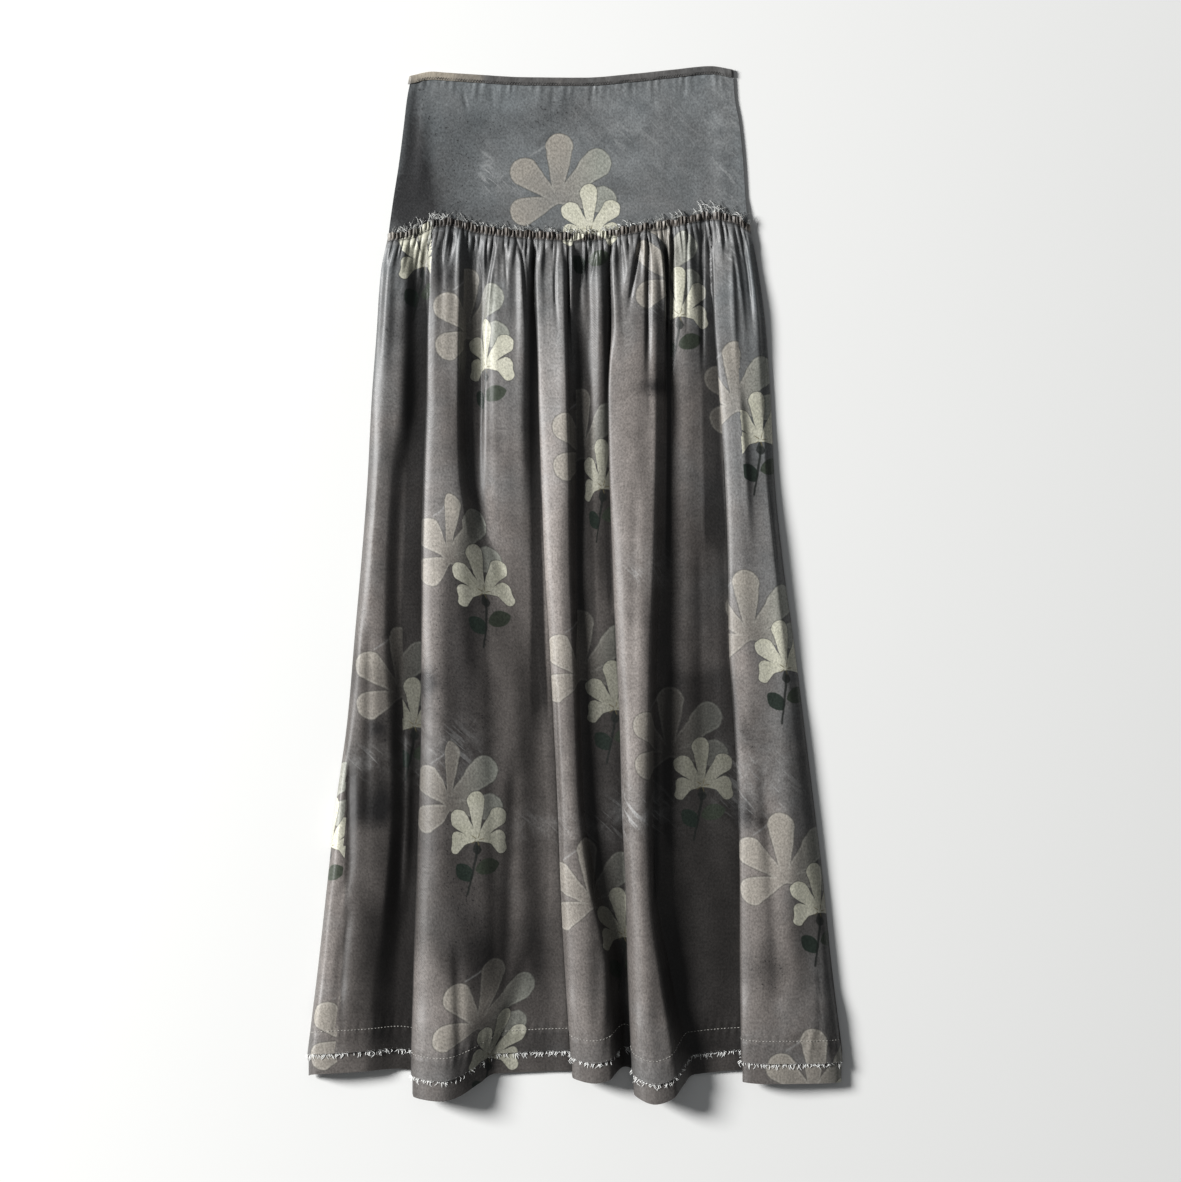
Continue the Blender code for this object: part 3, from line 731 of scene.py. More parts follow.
# Uneven dye, with some painted shade among the smoke. Each row: across and down of a soft patch,
# its half sizes and its strength.
mauvePatches = (
    (-60, 560, 110, 210, 0.55),
    (40, 480, 60, 190, 0.5),
    (-40, 830, 150, 160, 0.55),
    (-190, 650, 60, 130, 0.55),
    (150, 600, 50, 130, 0.45),
    (130, 830, 60, 120, 0.35),
    (85, 330, 45, 90, 0.4),
    (-120, 300, 45, 80, 0.3),
    (-185, 400, 40, 90, 0.25),
    (60, 95, 90, 50, 0.12),
    (205, 900, 70, 120, 0.45),
    (-225, 880, 50, 140, 0.45),
    (-60, 960, 190, 60, 0.3),
)
smokeAndShadePatches = (
    (-130, 209, 9, 13, 0.75),
    (-180, 264, 10, 15, 0.45),
    (80, 246, 6, 12, 0.7),
    (86, 312, 7, 14, 0.5),
    (78, 322, 14, 6, 0.65),
    (-112, 560, 20, 80, 0.5),
    (-108, 760, 22, 120, 0.5),
    # These two darken the valley left of the first fold's lip: painted shade
    (-150, 614, 10, 9, 0.85),
    (-152, 640, 8, 20, 0.5),
    (-191, 736, 9, 13, 0.9),
    (-206, 748, 15, 9, 0.55),
    (-217, 734, 8, 12, 0.3),
    (168, 742, 10, 13, 0.55),
    (184, 756, 9, 9, 0.4),
    (168, 664, 6, 12, 0.5),
    (182, 678, 10, 8, 0.35),
    (-196, 664, 10, 12, 0.45),
    (-150, 770, 9, 14, 0.35),
    (195, 905, 14, 26, 0.25),
    (-200, 660, 11, 9, 0.5),
    (170, 745, 7, 20, 0.4),
    (36, 700, 18, 6, 0.3),
    # These four darken the yoke's left edge and its lower left
    (-166, 138, 26, 34, 0.85),
    (-160, 70, 9, 60, 0.65),
    (-120, 96, 30, 34, 0.32),
    (-100, 150, 50, 12, 0.3),
    (120, 128, 24, 34, 0.24),
    (40, 80, 34, 12, 0.2),
    (-60, 60, 60, 14, 0.25),
    (-10, 40, 22, 16, 0.35),
    (135, 250, 8, 8, 0.35),
    (180, 905, 20, 14, 0.3),
    (-30, 905, 60, 24, 0.2),
    (100, 935, 22, 18, 0.3),
)
palePatches = (
    (-88, 104, 5, 16, 0.5),
    (-72, 116, 12, 6, 0.35),
    (150, 90, 9, 70, 0.3),
    (60, 60, 60, 34, 0.16),
    (70, 500, 14, 12, 0.45),
    (62, 750, 16, 10, 0.35),
    (-210, 695, 14, 9, 0.4),
    (182, 716, 26, 26, 0.36),
    (66, 740, 18, 16, 0.3),
    (-130, 690, 26, 22, 0.3),
    (156, 190, 9, 24, 0.3),
    (-30, 760, 50, 10, 0.22),
    (90, 240, 22, 12, 0.25),
)
creamPatches = (
    (-153, 9, 16, 9, 0.62),
    (-122, 10, 16, 8, 0.46),
    (-97, 11, 7, 7, 0.3),
)


def patchValues(across, down, patches):
    total = np.zeros(len(across))
    for middleAcross, middleDown, halfAcross, halfDown, strength in patches:
        x = (across - middleAcross) / halfAcross
        y = (down - middleDown) / halfDown
        total = total + strength * np.exp(-0.5 * (x * x + y * y))
    return np.clip(total, 0.0, 1.0)


# Painted shade in the valleys between the folds, darkest up to a fold's own edge. Each row: the left
# edge across at three distances down, the right edge, those three distances, how soft both edges
# are and a strength.
paintedValleyShade = (
    ((-164, -168, -182), (-144, -149.5, -156), (160, 400, 730), 7, 1.2, 0.9),
    ((-172, -175, -200), (-154.5, -159, -164), (590, 830, 990), 4, 1.2, 0.8),
    ((-110, -110, -109), (-91.5, -92, -87), (180, 320, 560), 2.5, 1.5, 0.1),
    ((-131, -133, -142), (-92, -86, -78), (430, 600, 940), 9, 5, 0.5),
    ((-152, -151, -154), (-112, -112, -112), (170, 300, 420), 2, 8, 0.22),
    ((-192, -190, -192), (-166, -166, -170), (170, 260, 420), 8, 5, 0.3),
    ((-225, -226, -232), (-176, -180, -190), (570, 650, 770), 12, 8, 0.35),
    ((-160, -160, -164), (-138, -136, -138), (650, 740, 900), 2, 8, 0.34),
    ((94, 90, 92), (160, 163, 166), (590, 690, 790), 6, 2, 0.62),
    ((-46, -45, -43), (-39, -35, -26), (184, 400, 680), 3, 1.2, 0.75),
    ((-60, -56, -46), (-40, -37, -30), (540, 700, 940), 8, 8, 0.4),
    ((1, 1, 3), (16, 17, 22), (220, 400, 600), 2.5, 1.5, 0.4),
    ((20, 20, 23), (33, 33, 36), (180, 350, 560), 5, 2, 0.35),
    ((8, 12, 17), (40, 46, 57), (520, 740, 1010), 5, 1.2, 0.38),
    ((91, 92, 91), (96, 96, 95), (165, 330, 520), 1.5, 1.5, 0.75),
    ((127, 127, 130), (138.5, 143, 152), (160, 300, 500), 2, 1.2, 0.5),
    ((92, 86, 80), (150, 158, 165), (380, 620, 1020), 14, 2, 0.4),
    ((104, 104, 106), (164, 165, 166), (700, 900, 1020), 12, 2, 0.36),
    ((-228, -230, -238), (-168, -173, -200), (640, 830, 1000), 0.9, 6, 0.5),
    ((-216, -208, -204), (-162, -162, -166), (820, 880, 1020), 14, 3, 0.28),
    ((-120, -116, -104), (-20, -18, -16), (830, 950, 1030), 22, 12, 0.3),
    ((79, 79, 78), (83, 83, 82), (640, 750, 850), 1.5, 3, 0.4),
    ((70, 70, 71), (74, 74, 74), (186, 260, 370), 2, 1.5, 0.35),
    ((31, 31, 33), (35, 34, 37), (172, 330, 560), 2, 1.0, 0.5),
    ((206, 214, 224), (240, 250, 266), (560, 760, 1020), 18, 4, 0.32),
    # Below 0: painted highlight, paler along the folds' lit edges and on the turned strip
    ((-37, -35, -30), (-16, -14, -10), (190, 380, 640), 2, 8, -0.5),
    ((-90, -88, -84), (-72, -70, -68), (370, 450, 560), 1.5, 8, -0.5),
    ((46, 50, 52), (70, 74, 74), (540, 610, 720), 3, 6, -0.25),
    ((38, 37, 42), (84, 82, 72), (260, 480, 700), 3, 12, -0.14),
    ((139, 145, 157), (157, 163, 176), (190, 400, 720), 1.5, 6, -0.22),
    ((-154, -155, -156), (-140, -140, -141), (430, 540, 640), 1.2, 8, -0.1),
    ((-300, -300, -300), (-228, -230, -238), (640, 800, 1030), 4, 0.9, -0.12),
)


# Sums the rows' painted shade at each point; below 0 it is painted highlight
def valleyShade(across, down):
    total = np.zeros_like(across)
    for left, right, downs, softLeft, softRight, strength in paintedValleyShade:
        fromLeft = across - curveThrough(downs, left, down)
        fromRight = curveThrough(downs, right, down) - across
        inside = ease(fromLeft, -softLeft, softLeft) * ease(fromRight, -softRight, softRight)
        fade = 0.5 * (downs[1] - downs[0])
        inside = inside * ease(down, downs[0], downs[0] + fade)
        inside = inside * (1 - ease(down, downs[2] - 0.7 * fade, downs[2]))
        total = total + strength * inside
    return total


# How dark the hollow map's painted shade makes each place, from 0 to 1, and how far cloth beside a
# hollow closes it in
hollows = {
    "reach": 90,
    "leastGap": 0.05,
    "seam": 0.6,
    "seamHalf": 1.5,
    "hem": 0.14,
    "inside": 0.5,
    "frill": 0.9,
    "bandShare": 0.35,
}


def closedIn(points):
    # How much higher cloth on both sides closes in each point of a row: 0 open, 1 closed
    # This sets the painted shade of the hollow map
    x, z = points[:, 0], points[:, 2]
    apart = x[None, :] - x[:, None]
    climb = np.arctan2(z[None, :] - z[:, None], np.abs(apart) + hollows["leastGap"])
    left, right = [
        np.where((side > 0) & (side < hollows["reach"]), climb, 0.0).max(1) for side in (-apart, apart)
    ]
    return 0.5 * (np.sin(left) + np.sin(right))


def clothMaps(made, points, flat, hollow=None):
    # The place on the flat cloth, the dye, the wear and the hollows' painted shade
    across, down = points[:, 0], halfLength - points[:, 1]
    pointMap(made, "cloth", flat)
    for name, both in (("dye", (mauvePatches, smokeAndShadePatches)), ("wear", (palePatches, creamPatches))):
        pointMap(made, name, np.stack([patchValues(across, down, patches) for patches in both], 1))
    pointMap(made, "hollow", np.zeros((len(points), 2)) if hollow is None else hollow)


def toLinear(hexColour):
    channels = [int(hexColour[place : place + 2], 16) / 255 for place in (1, 3, 5)]
    linear = [c / 12.92 if c <= 0.04045 else ((c + 0.055) / 1.055) ** 2.4 for c in channels]
    return (*linear, 1.0)


def addNode(tree, kind, links=(), out=0, **settings):
    # links gives inputs, in their own order or by name or number, values or other nodes' outputs.
    # A Mix node's colour inputs share their names with others, so numbers stand for them: 0 is the
    # share, 6 and 7 are the colours and 2 is the output.
    node = tree.nodes.new("ShaderNode" + kind)
    for name, value in settings.items():
        setattr(node, name, value)
    for place, value in dict(links if isinstance(links, dict) else enumerate(links)).items():
        if isinstance(value, bpy.types.NodeSocket):
            tree.links.new(value, node.inputs[place])
        else:
            node.inputs[place].default_value = value
    if isinstance(out, tuple):
        return [node.outputs[name] for name in out]
    return node.outputs[out] if len(node.outputs) else None


def newMaterial(name):
    # The material, and addNode for its own nodes
    made = bpy.data.materials.new(name)
    made.use_nodes = True
    made.node_tree.nodes.clear()
    return made, partial(addNode, made.node_tree)


# The flower, in millimetres from the small flower's centre: angle, reach of the petal's round end,
# radius of that end. The large pale flower stands behind the small one, up to its left.
largeFlower = {
    "centre": (-32.5, 32.0, 0.0),
    "base": 4.0,
    "joins": 0.8,
    "petals": ((199, 35, 14.5), (140, 43, 14.5), (88, 52, 14.0), (43, 53, 15.0), (0, 45, 14.0)),
    "tips": (),
}
smallFlower = {
    "centre": (0.0, 0.0, 0.0),
    "base": 1.6,
    "joins": 0.8,
    "petals": ((178, 19.5, 7.3), (133, 28, 9.4), (92, 39, 8.8), (47, 31, 9.4), (4, 21.5, 7.5)),
    # The drooping tips of both lower petals: their start, then as for a petal, with a wide base
    "tips": ((-19.2, -1.6, 244, 9, 5.0, 7.4), (21, -0.8, 296, 9, 5.4, 7.6)),
    "tipJoins": 2.0,
}
# Each leaf: its middle across and up, its angle, its length and width
leaves = {"leftLeaf": (-13.5, -33, 130, 21, 16), "rightLeaf": (10.0, -27, 17, 26, 16)}
# Single strokes round the flowers: the dye, where it starts across and up, its angle, reach, half
# width at its end and start, its blur and its share
flowerStrokes = {
    "smudge": ("smokeAndShade", -51.0, 88.0, 30, 12, 2.5, 2.5, 3.5, 0.4),
    "streak": ("pale", -60.0, 76.0, 32, 18, 0.6, 0.6, 0.8, 0.35),
    "stem": ("stem", 0.0, -8.0, 258, 48, 1.0, 1.5, 0.5, 0.88),
    "cup": ("stem", 0.0, -4.0, 268, 6, 4.6, 2.0, 0.5, 0.85),
}


def petalEdge(add, point, angle, reach, end, base):
    # How far a point lies outside a petal that widens from its base to a round end
    direction = (math.cos(math.radians(angle)), math.sin(math.radians(angle)), 0.0)
    along = add("VectorMath", (point, direction), "Value", operation="DOT_PRODUCT")
    along = add("Clamp", (along, 0.0, reach))
    spine = add("VectorMath", {0: direction, "Scale": along}, operation="SCALE")
    away = add("VectorMath", (point, spine), "Value", operation="DISTANCE")
    half = add("MapRange", (along, 0.0, reach, base, end))
    return add("Math", (away, half), operation="SUBTRACT")


def leafEdge(add, point, leaf):
    # How far a point lies outside a leaf, where two equal circles overlap
    across, up, angle, length, width = leaf
    radius = (length * length + width * width) / (4 * width)
    turn = math.radians(angle + 90)
    sides = []
    for offset in (width / 2 - radius, radius - width / 2):
        middle = (across + offset * math.cos(turn), up + offset * math.sin(turn), 0.0)
        away = add("VectorMath", (point, middle), "Value", operation="DISTANCE")
        sides.append(add("Math", (away, radius), operation="SUBTRACT"))
    return add("Math", (*sides, 1.2), operation="SMOOTH_MAX")


def flowerEdge(add, point, flower):
    # The petals and tips joined, each join a little rounded
    local = add("VectorMath", (point, flower["centre"]), operation="SUBTRACT")
    parts = [(petalEdge(add, local, *petal, flower["base"]), flower["joins"]) for petal in flower["petals"]]
    for across, up, *tip in flower["tips"]:
        start = add("VectorMath", (local, (across, up, 0.0)), operation="SUBTRACT")
        parts.append((petalEdge(add, start, *tip), flower["tipJoins"]))
    edge = parts[0][0]
    for part, joins in parts[1:]:
        edge = add("Math", (edge, part, joins), operation="SMOOTH_MIN")
    return edge


viscose = {
    "dyes": {
        "slate": "#6d7274",
        "mauve": "#78726e",
        "frill": "#6f675f",
        "smokeAndShade": "#1c1b1c",
        "pale": "#b2b3b2",
        "cream": "#a89f90",
        "largePetal": "#a29c92",
        "greenPetal": "#a0a298",
        "largeRim": "#c9c8bf",
        "smallPetal": "#cfcdbc",
        "smallPetalShade": "#bbbaa6",
        "petalEdge": "#3a3b38",
        "leftLeaf": "#1d2a22",
        "rightLeaf": "#353d31",
        "stem": "#1d211e",
        "strokes": "#6d6447",
    },
    # Lumps in the dye and the cloth: size in millimetres, detail, roughness and distortion
    "lumps": {
        "cloud": (55.0, 3.0, 0.55, 0.6),
        "smallCloud": (16.0, 3.0, 0.6, 0.4),
        "broadCloud": (90.0, 2.0, 0.5, 0.8),
        "torn": (7.0, 4.0, 0.65, 1.2),
        "speck": (3.2, 2.0, 0.6, 0.0),
        "crinkle": (9.0, 3.0, 0.6, 0.8),
    },
    "threadEvery": 1.4,
    "grain": 1.9,
    "roughness": 0.42,
    # The colour's painted shade on the crests and in the deepest hollows
    "paintedCrestShade": 1.0,
    "paintedHollowShade": 0.2,
}
dye = {name: toLinear(hexColour) for name, hexColour in viscose["dyes"].items()}


def flowerPrint(add, colour, cloudShare, hollow):
    # Both flowers, the leaves and the stem, laid over the dyed colour by formula. Their lines waver
    # a little, as a brush does.
    place = add("UVMap", uv_map="print")
    waver = add("TexNoise", {"Vector": place, "Scale": 1 / 14, "Detail": 1.0}, "Color")
    point = add("VectorMath", (waver, (3.0, 3.0, 0.0), place), operation="MULTIPLY_ADD")
    point = add("VectorMath", (point, (1.5, 1.5, 0.0)), operation="SUBTRACT")

    def stroke(name):
        tone, across, up, angle, reach, end, base, blur, share = flowerStrokes[name]
        local = add("VectorMath", (point, (across, up, 0.0)), operation="SUBTRACT")
        edge = petalEdge(add, local, angle, reach, end, base)
        return add("MapRange", (edge, blur, -blur, 0.0, share)), dye[tone]

    # The large flower is thin, so the dye shows through it. Both flowers take painted shade in the
    # hollows, where the large one also covers less.
    paintedPrintShade = add("MapRange", (hollow, 0.4, 1.0, 1.0, 0.45))
    large = flowerEdge(add, point, largeFlower)
    across, up = add("SeparateXYZ", (point,), ("X", "Y"))
    green = add("MapRange", (across, -25.0, 10.0))
    petal = add("Mix", {0: green, 6: dye["largePetal"], 7: dye["greenPetal"]}, 2, data_type="RGBA")
    clouded = add("MapRange", (cloudShare, 0.0, 1.0, 1.0, 0.72))
    clouded = add("Math", (clouded, paintedPrintShade), operation="MULTIPLY")
    petal = add("VectorMath", {0: petal, "Scale": clouded}, operation="SCALE")
    heart = add("VectorMath", (point, largeFlower["centre"]), "Value", operation="DISTANCE")
    thick = add("MapRange", (heart, 8.0, 50.0, 0.5, 0.88))
    thin = add("MapRange", (hollow, 0.15, 0.9, 1.0, 0.6))
    cover = add("Math", (thick, thin), operation="MULTIPLY")
    inLarge = add("MapRange", (large, 0.5, -0.5, 0.0, cover))
    nearRim = add("MapRange", (large, -3.0, -1.8, 0.0, 0.13))
    rim = add("MapRange", (large, -0.1, -1.1, 0.0, paintedPrintShade))
    rim = add("Math", (rim, nearRim), operation="MULTIPLY")
    line = add("Math", (large,), operation="ABSOLUTE")
    line = add("MapRange", (line, 0.35, 1.0, 0.4, 0.0))
    line = add("Math", (line, paintedPrintShade), operation="MULTIPLY")
    layers = [stroke("smudge"), stroke("streak")]
    layers += [(inLarge, petal), (rim, dye["largeRim"]), (line, dye["petalEdge"])]

    for name, leaf in leaves.items():
        inLeaf = add("MapRange", (leafEdge(add, point, leaf), 0.5, -0.5, 0.0, 0.93))
        layers.append((inLeaf, dye[name]))
    layers += [stroke("stem"), stroke("cup")]

    # The small flower is nearly opaque, with a dark line round it and strokes at its heart
    small = flowerEdge(add, point, smallFlower)
    around = add("MapRange", (small, -0.1, 1.2, 0.85, 0.0))
    around = add("MapRange", (small, -0.4, 0.2, 0.0, around))
    tones = {0: cloudShare, 6: dye["smallPetal"], 7: dye["smallPetalShade"]}
    petal = add("Mix", tones, 2, data_type="RGBA")
    petal = add("VectorMath", {0: petal, "Scale": paintedPrintShade}, operation="SCALE")
    inSmall = add("MapRange", (small, 0.4, -0.4, 0.0, 0.93))
    turn = add("Math", (up, across), operation="ARCTAN2")
    turn = add("Math", (turn, 2.5), operation="MULTIPLY")
    spokes = add("Math", (add("Math", (turn,), operation="SINE"),), operation="ABSOLUTE")
    away = add("VectorMath", (point,), "Value", operation="LENGTH")
    spokes = add("Math", (spokes, away), operation="MULTIPLY")
    outHeart = add("MapRange", (away, 1.2, 2.2, 0.0, 0.75))
    nearHeart = add("MapRange", (away, 8.0, 5.5, 0.0, outHeart))
    strokes = add("MapRange", (spokes, 1.6, 0.8, 0.0, nearHeart))
    layers += [(around, dye["petalEdge"]), (inSmall, petal), (strokes, dye["strokes"])]
    for cover, over in layers:
        colour = add("Mix", {0: cover, 6: colour, 7: over}, 2, data_type="RGBA")
    return colour


def satinViscose(name, printed=True, slateToMauve=(0.0, 1.0), tone=1.0, cream=False):
    # Satin weave viscose, dyed unevenly in slate and mauve: long floats of smooth thread give the
    # folds a broad soft gloss, and the dye gives clouds, smoke and pale water marks. Painted shade
    # darkens the hollows and painted highlight pales the folds' lit edges.
    made, add = newMaterial(name)
    cloth = add("UVMap", uv_map="cloth")
    dyed, smokeAndShade = add("SeparateXYZ", (add("UVMap", uv_map="dye"),), ("X", "Y"))
    pale, creamy = add("SeparateXYZ", (add("UVMap", uv_map="wear"),), ("X", "Y"))
    hollow, frill = add("SeparateXYZ", (add("UVMap", uv_map="hollow"),), ("X", "Y"))
    lumps = {}
    for lump, (size, detail, rough, warp) in viscose["lumps"].items():
        form = {"Vector": cloth, "Scale": 1 / size, "Detail": detail, "Roughness": rough, "Distortion": warp}
        lumps[lump] = add("TexNoise", form, "Fac")

    share = add("Math", (lumps["cloud"], 0.9, dyed), operation="MULTIPLY_ADD")
    share = add("MapRange", (share, 0.3, 1.25, *slateToMauve))
    colour = add("Mix", {0: share, 6: dye["slate"], 7: dye["mauve"]}, 2, data_type="RGBA")
    shade = add("MapRange", (lumps["smallCloud"], 0.3, 0.72, 0.84 * tone, 1.14 * tone))
    broad = add("MapRange", (lumps["broadCloud"], 0.3, 0.7, 0.86, 1.12))
    shade = add("Math", (shade, broad), operation="MULTIPLY")
    colour = add("VectorMath", {0: colour, "Scale": shade}, operation="SCALE")
    colour = add("Mix", {0: frill, 6: colour, 7: dye["frill"]}, 2, data_type="RGBA")
    # Painted shade: the hollow map darkens the hollows between the folds. Under 0 a hollow is a lit
    # edge, made paler as painted highlight.
    lit = add("MapRange", (hollow, 0.0, -0.5, 1.0, 1.7))
    paintedShade = add("MapRange", (hollow, 0.04, 0.95, viscose["paintedCrestShade"], viscose["paintedHollowShade"]))
    paintedShade = add("Math", (paintedShade, lit), operation="MULTIPLY")
    colour = add("VectorMath", {0: colour, "Scale": paintedShade}, operation="SCALE")

    # Smoke, partly painted shade, with specks in it and pale slanting marks, broken up by the cloth's
    # own clouds
    smokeAndShade = add("Math", (smokeAndShade, lumps["torn"], smokeAndShade), operation="MULTIPLY_ADD")
    specks = add("MapRange", (lumps["speck"], 0.6, 0.66, 0.0, 0.8))
    specks = add("MapRange", (smokeAndShade, 0.15, 0.5, 0.0, specks))
    smokyAndShaded = add("MapRange", (smokeAndShade, 0.18, 1.3, 0.0, 0.88))
    smokyAndShaded = add("Math", (smokyAndShaded, specks), operation="MAXIMUM")
    slant = {"Vector": cloth, "Rotation": (0.0, 0.0, -0.75), "Scale": (34.0, 4.5, 1.0)}
    streaks = add("Mapping", slant, vector_type="TEXTURE")
    streaks = add("TexNoise", {"Vector": streaks, "Scale": 1.0, "Detail": 2.0, "Distortion": 0.5}, "Fac")
    streaks = add("MapRange", (streaks, 0.56, 0.64))
    patches = add("MapRange", (lumps["smallCloud"], 0.4, 0.7, 0.0, 0.7))
    marks = add("Math", (streaks, patches), operation="MAXIMUM")
    marks = add("Math", (marks, pale), operation="MULTIPLY")
    layers = [(smokyAndShaded, dye["smokeAndShade"]), (marks, dye["pale"])]
    if cream:
        creamy = add("Math", (creamy, lumps["torn"], creamy), operation="MULTIPLY_ADD")
        layers.append((add("MapRange", (creamy, 0.3, 1.0, 0.0, 0.9)), dye["cream"]))
    for cover, over in layers:
        colour = add("Mix", {0: cover, 6: colour, 7: over}, 2, data_type="RGBA")
    if printed:
        cloudShare = add("MapRange", (lumps["smallCloud"], 0.35, 0.65, 0.0, 0.6))
        colour = flowerPrint(add, colour, cloudShare, hollow)

    # The thread's own unevenness, in short upright flecks. Real threads lie 0.2 mm apart, too fine
    # to show, so they are drawn seven times as coarse.
    upright = add("Mapping", {"Vector": cloth, "Scale": (1.0, 0.75, 1.0)})
    grain = {"Vector": upright, "Scale": 1 / viscose["grain"], "Detail": 3.0, "Roughness": 0.6}
    grain = add("TexNoise", grain, "Fac")
    # Painted shade: the flecks are darker in the hollows
    fleckPaintedShade = add("MapRange", (hollow, 0.1, 0.95, 1.0, 0.6))
    fleck = add("MapRange", (grain, 0.3, 0.7, 0.68, 1.32))
    fleck = add("Math", (fleck, fleckPaintedShade), operation="MULTIPLY")
    colour = add("VectorMath", {0: colour, "Scale": fleck}, operation="SCALE")
    scale = math.pi / 10 / viscose["threadEvery"]
    bands = {"Vector": cloth, "Scale": scale, "Distortion": 1.5, "Detail": 1.0}
    weave = add("TexWave", bands, "Fac", wave_type="BANDS", bands_direction="DIAGONAL")
    height = add("Math", (lumps["crinkle"], 0.6), operation="MULTIPLY")
    height = add("Math", (grain, 0.12, height), operation="MULTIPLY_ADD")
    height = add("Math", (weave, 0.05, height), operation="MULTIPLY_ADD")
    bump = add("Bump", {"Height": height, "Strength": 0.5, "Distance": 0.8 * mm})
    gloss = add("MapRange", (grain, 0.3, 0.7, viscose["roughness"] - 0.05, viscose["roughness"] + 0.08))
    surface = {
        "Base Color": colour,
        "Roughness": gloss,
        "IOR": 1.47,
        "Normal": bump,
        "Sheen Weight": 0.12,
        "Sheen Roughness": 0.4,
        "Specular IOR Level": 0.4,
    }
    add("OutputMaterial", {"Surface": add("BsdfPrincipled", surface)})
    return made


def spunThread(name, dark, light, size):
    # Spun thread, matt where its fibres are loose: broken light and dark along its length
    made, add = newMaterial(name)
    place = add("TexCoord", out="Object")
    spots = add("TexNoise", {"Vector": place, "Scale": 1 / (size * mm), "Detail": 2.0}, "Fac")
    share = add("MapRange", (spots, 0.35, 0.65))
    tones = {0: share, 6: toLinear(dark), 7: toLinear(light)}
    surface = {
        "Base Color": add("Mix", tones, 2, data_type="RGBA"),
        "Roughness": 0.7,
        "IOR": 1.47,
        "Normal": add("Bump", {"Height": spots, "Strength": 0.4, "Distance": 0.1 * mm}),
        "Sheen Weight": 0.3,
        "Sheen Roughness": 0.5,
    }
    add("OutputMaterial", {"Surface": add("BsdfPrincipled", surface)})
    return made


skirtViscose = satinViscose("satinViscosePrinted")
yokeViscose = satinViscose("satinViscoseYoke", slateToMauve=(0.0, 0.6), tone=0.98)
bandViscose = satinViscose("satinViscoseBand", slateToMauve=(0.6, 1.1), tone=0.85)
bindingViscose = satinViscose(
    "satinViscoseBinding", printed=False, slateToMauve=(0.5, 1.0), tone=0.55, cream=True
)
frayedThread = spunThread("frayedViscoseThread", "#cfd0cd", "#fbfbf8", 2.0)
sewingThread = spunThread("spunPolyesterSewingThread", "#8a8883", "#cbc8c0", 1.2)
darkThread = spunThread("spunPolyesterDarkThread", "#232222", "#4a4846", 1.2)
print("materials made")


# Where the turned strip at the left edge ends: down, then across
turnedStrip = ((640, 704, 834, 884, 984), (-226, -227, -229, -233, -237))
middleMark = float(Section(600.0).names.index("crest2"))
thirdLap = Section(600.0).names.index("tuck3")


def allPlaces(centres, place):
    # For each motif, each point's place from it, from a function that gives one motif's places
    return np.stack([place(across, down) for across, down in centres])


def frontCloth(name, groups, inward, material, motifs, underFold=()):
    # groups: downs of the outer rows, downs of the inner rows, and a function that gives a row's keys
    # and marks. Flowers under the third fold end where it laps over.
    cloth = Cloth()
    kept, shades = [], []
    for face in ("outer", "inner"):
        for outerDowns, innerDowns, rowMarks in groups:
            for down in outerDowns if face == "outer" else innerDowns:
                keys, marks = rowMarks(down)
                outer, inner, along = frontRow(down, marks, inward)
                points = outer if face == "outer" else inner
                fromMiddle = along - np.interp(middleMark, marks, along)
                flat = np.stack([fromMiddle, np.full(len(along), -float(down))], 1)
                cloth.addRow(face, points, keys, marks, flat, down)
                kept.append((face, marks, along, points[:, 1]))
                frill = hollows["frill"] * float(ease(seamDown - down, -0.5, 1.5))
                # Painted shade in the seam's groove and from the hem's stitching to the raw edge
                seam = hollows["seam"] * math.exp(-(((down - seamDown) / hollows["seamHalf"]) ** 2))
                sewnFrom = rawEdgeDown - hem["stitchAbove"] - 1
                sewn = hollows["hem"] * float(ease(down, sewnFrom, rawEdgeDown - 18))
                # Painted shade: a fixed amount on the inside, and outside as much as the cloth round closes
                # it in
                closed = np.full(len(marks), hollows["inside"])
                if face == "outer":
                    closed = closedIn(points) + seam + sewn
                shades.append(np.stack([closed, np.full(len(marks), frill)], 1))
    points = np.concatenate(cloth.points)
    made = makePiece(name, points, cloth.faces(), material)
    printed = np.concatenate([np.full(len(marks), face == "outer") for face, marks, along, y in kept])

    def place(across, down):
        mark = Section(down - float(seamCurve(across, down))).markSeen(across)
        middleY = halfLength - down
        row = min(kept, key=lambda k: abs(np.interp(mark, k[1], k[3]) - middleY))
        return np.concatenate([
            np.stack([along - np.interp(mark, marks, along), y - middleY], 1)
            for face, marks, along, y in kept
        ])

    # The left edge is turned over, with flowers of its own
    stripMotifs = motifCentres["frontStrip"]
    allMotifs = motifs + stripMotifs + underFold
    onFront = slice(0, len(motifs))
    onTurned = slice(len(motifs), len(motifs) + len(stripMotifs))
    places = allPlaces(allMotifs, place)
    down = halfLength - points[:, 1]
    turned = points[:, 0] < curveThrough(*turnedStrip, down)
    places[onFront, turned & (down > turnedStrip[0][0])] += nowhere
    places[onTurned, ~turned] += nowhere
    pastFold = np.concatenate([marks for face, marks, along, y in kept]) > thirdLap
    places[onTurned.stop :, pastFold] += nowhere
    printMap(made, places, printed, allMotifs, tucked=True)
    # The hollow map: painted shade, painted highlight below 0, and the frill's share of its own dye
    closed, frill = np.concatenate(shades).T
    paintedShade = closed + valleyShade(points[:, 0], down) * (hollows["bandShare"] if inward else 1.0)
    hollow = np.stack([np.clip(paintedShade, -0.5, 1.0), frill], 1)
    clothMaps(made, points, np.concatenate(cloth.flat), hollow)
    return made


def steps(start, end, step):
    count = max(1, round((end - start) / step))
    return list(np.linspace(start, end, count + 1))


frontDensity = {"topColumns": 636, "middleLength": 1.5, "lowLength": 2.6}


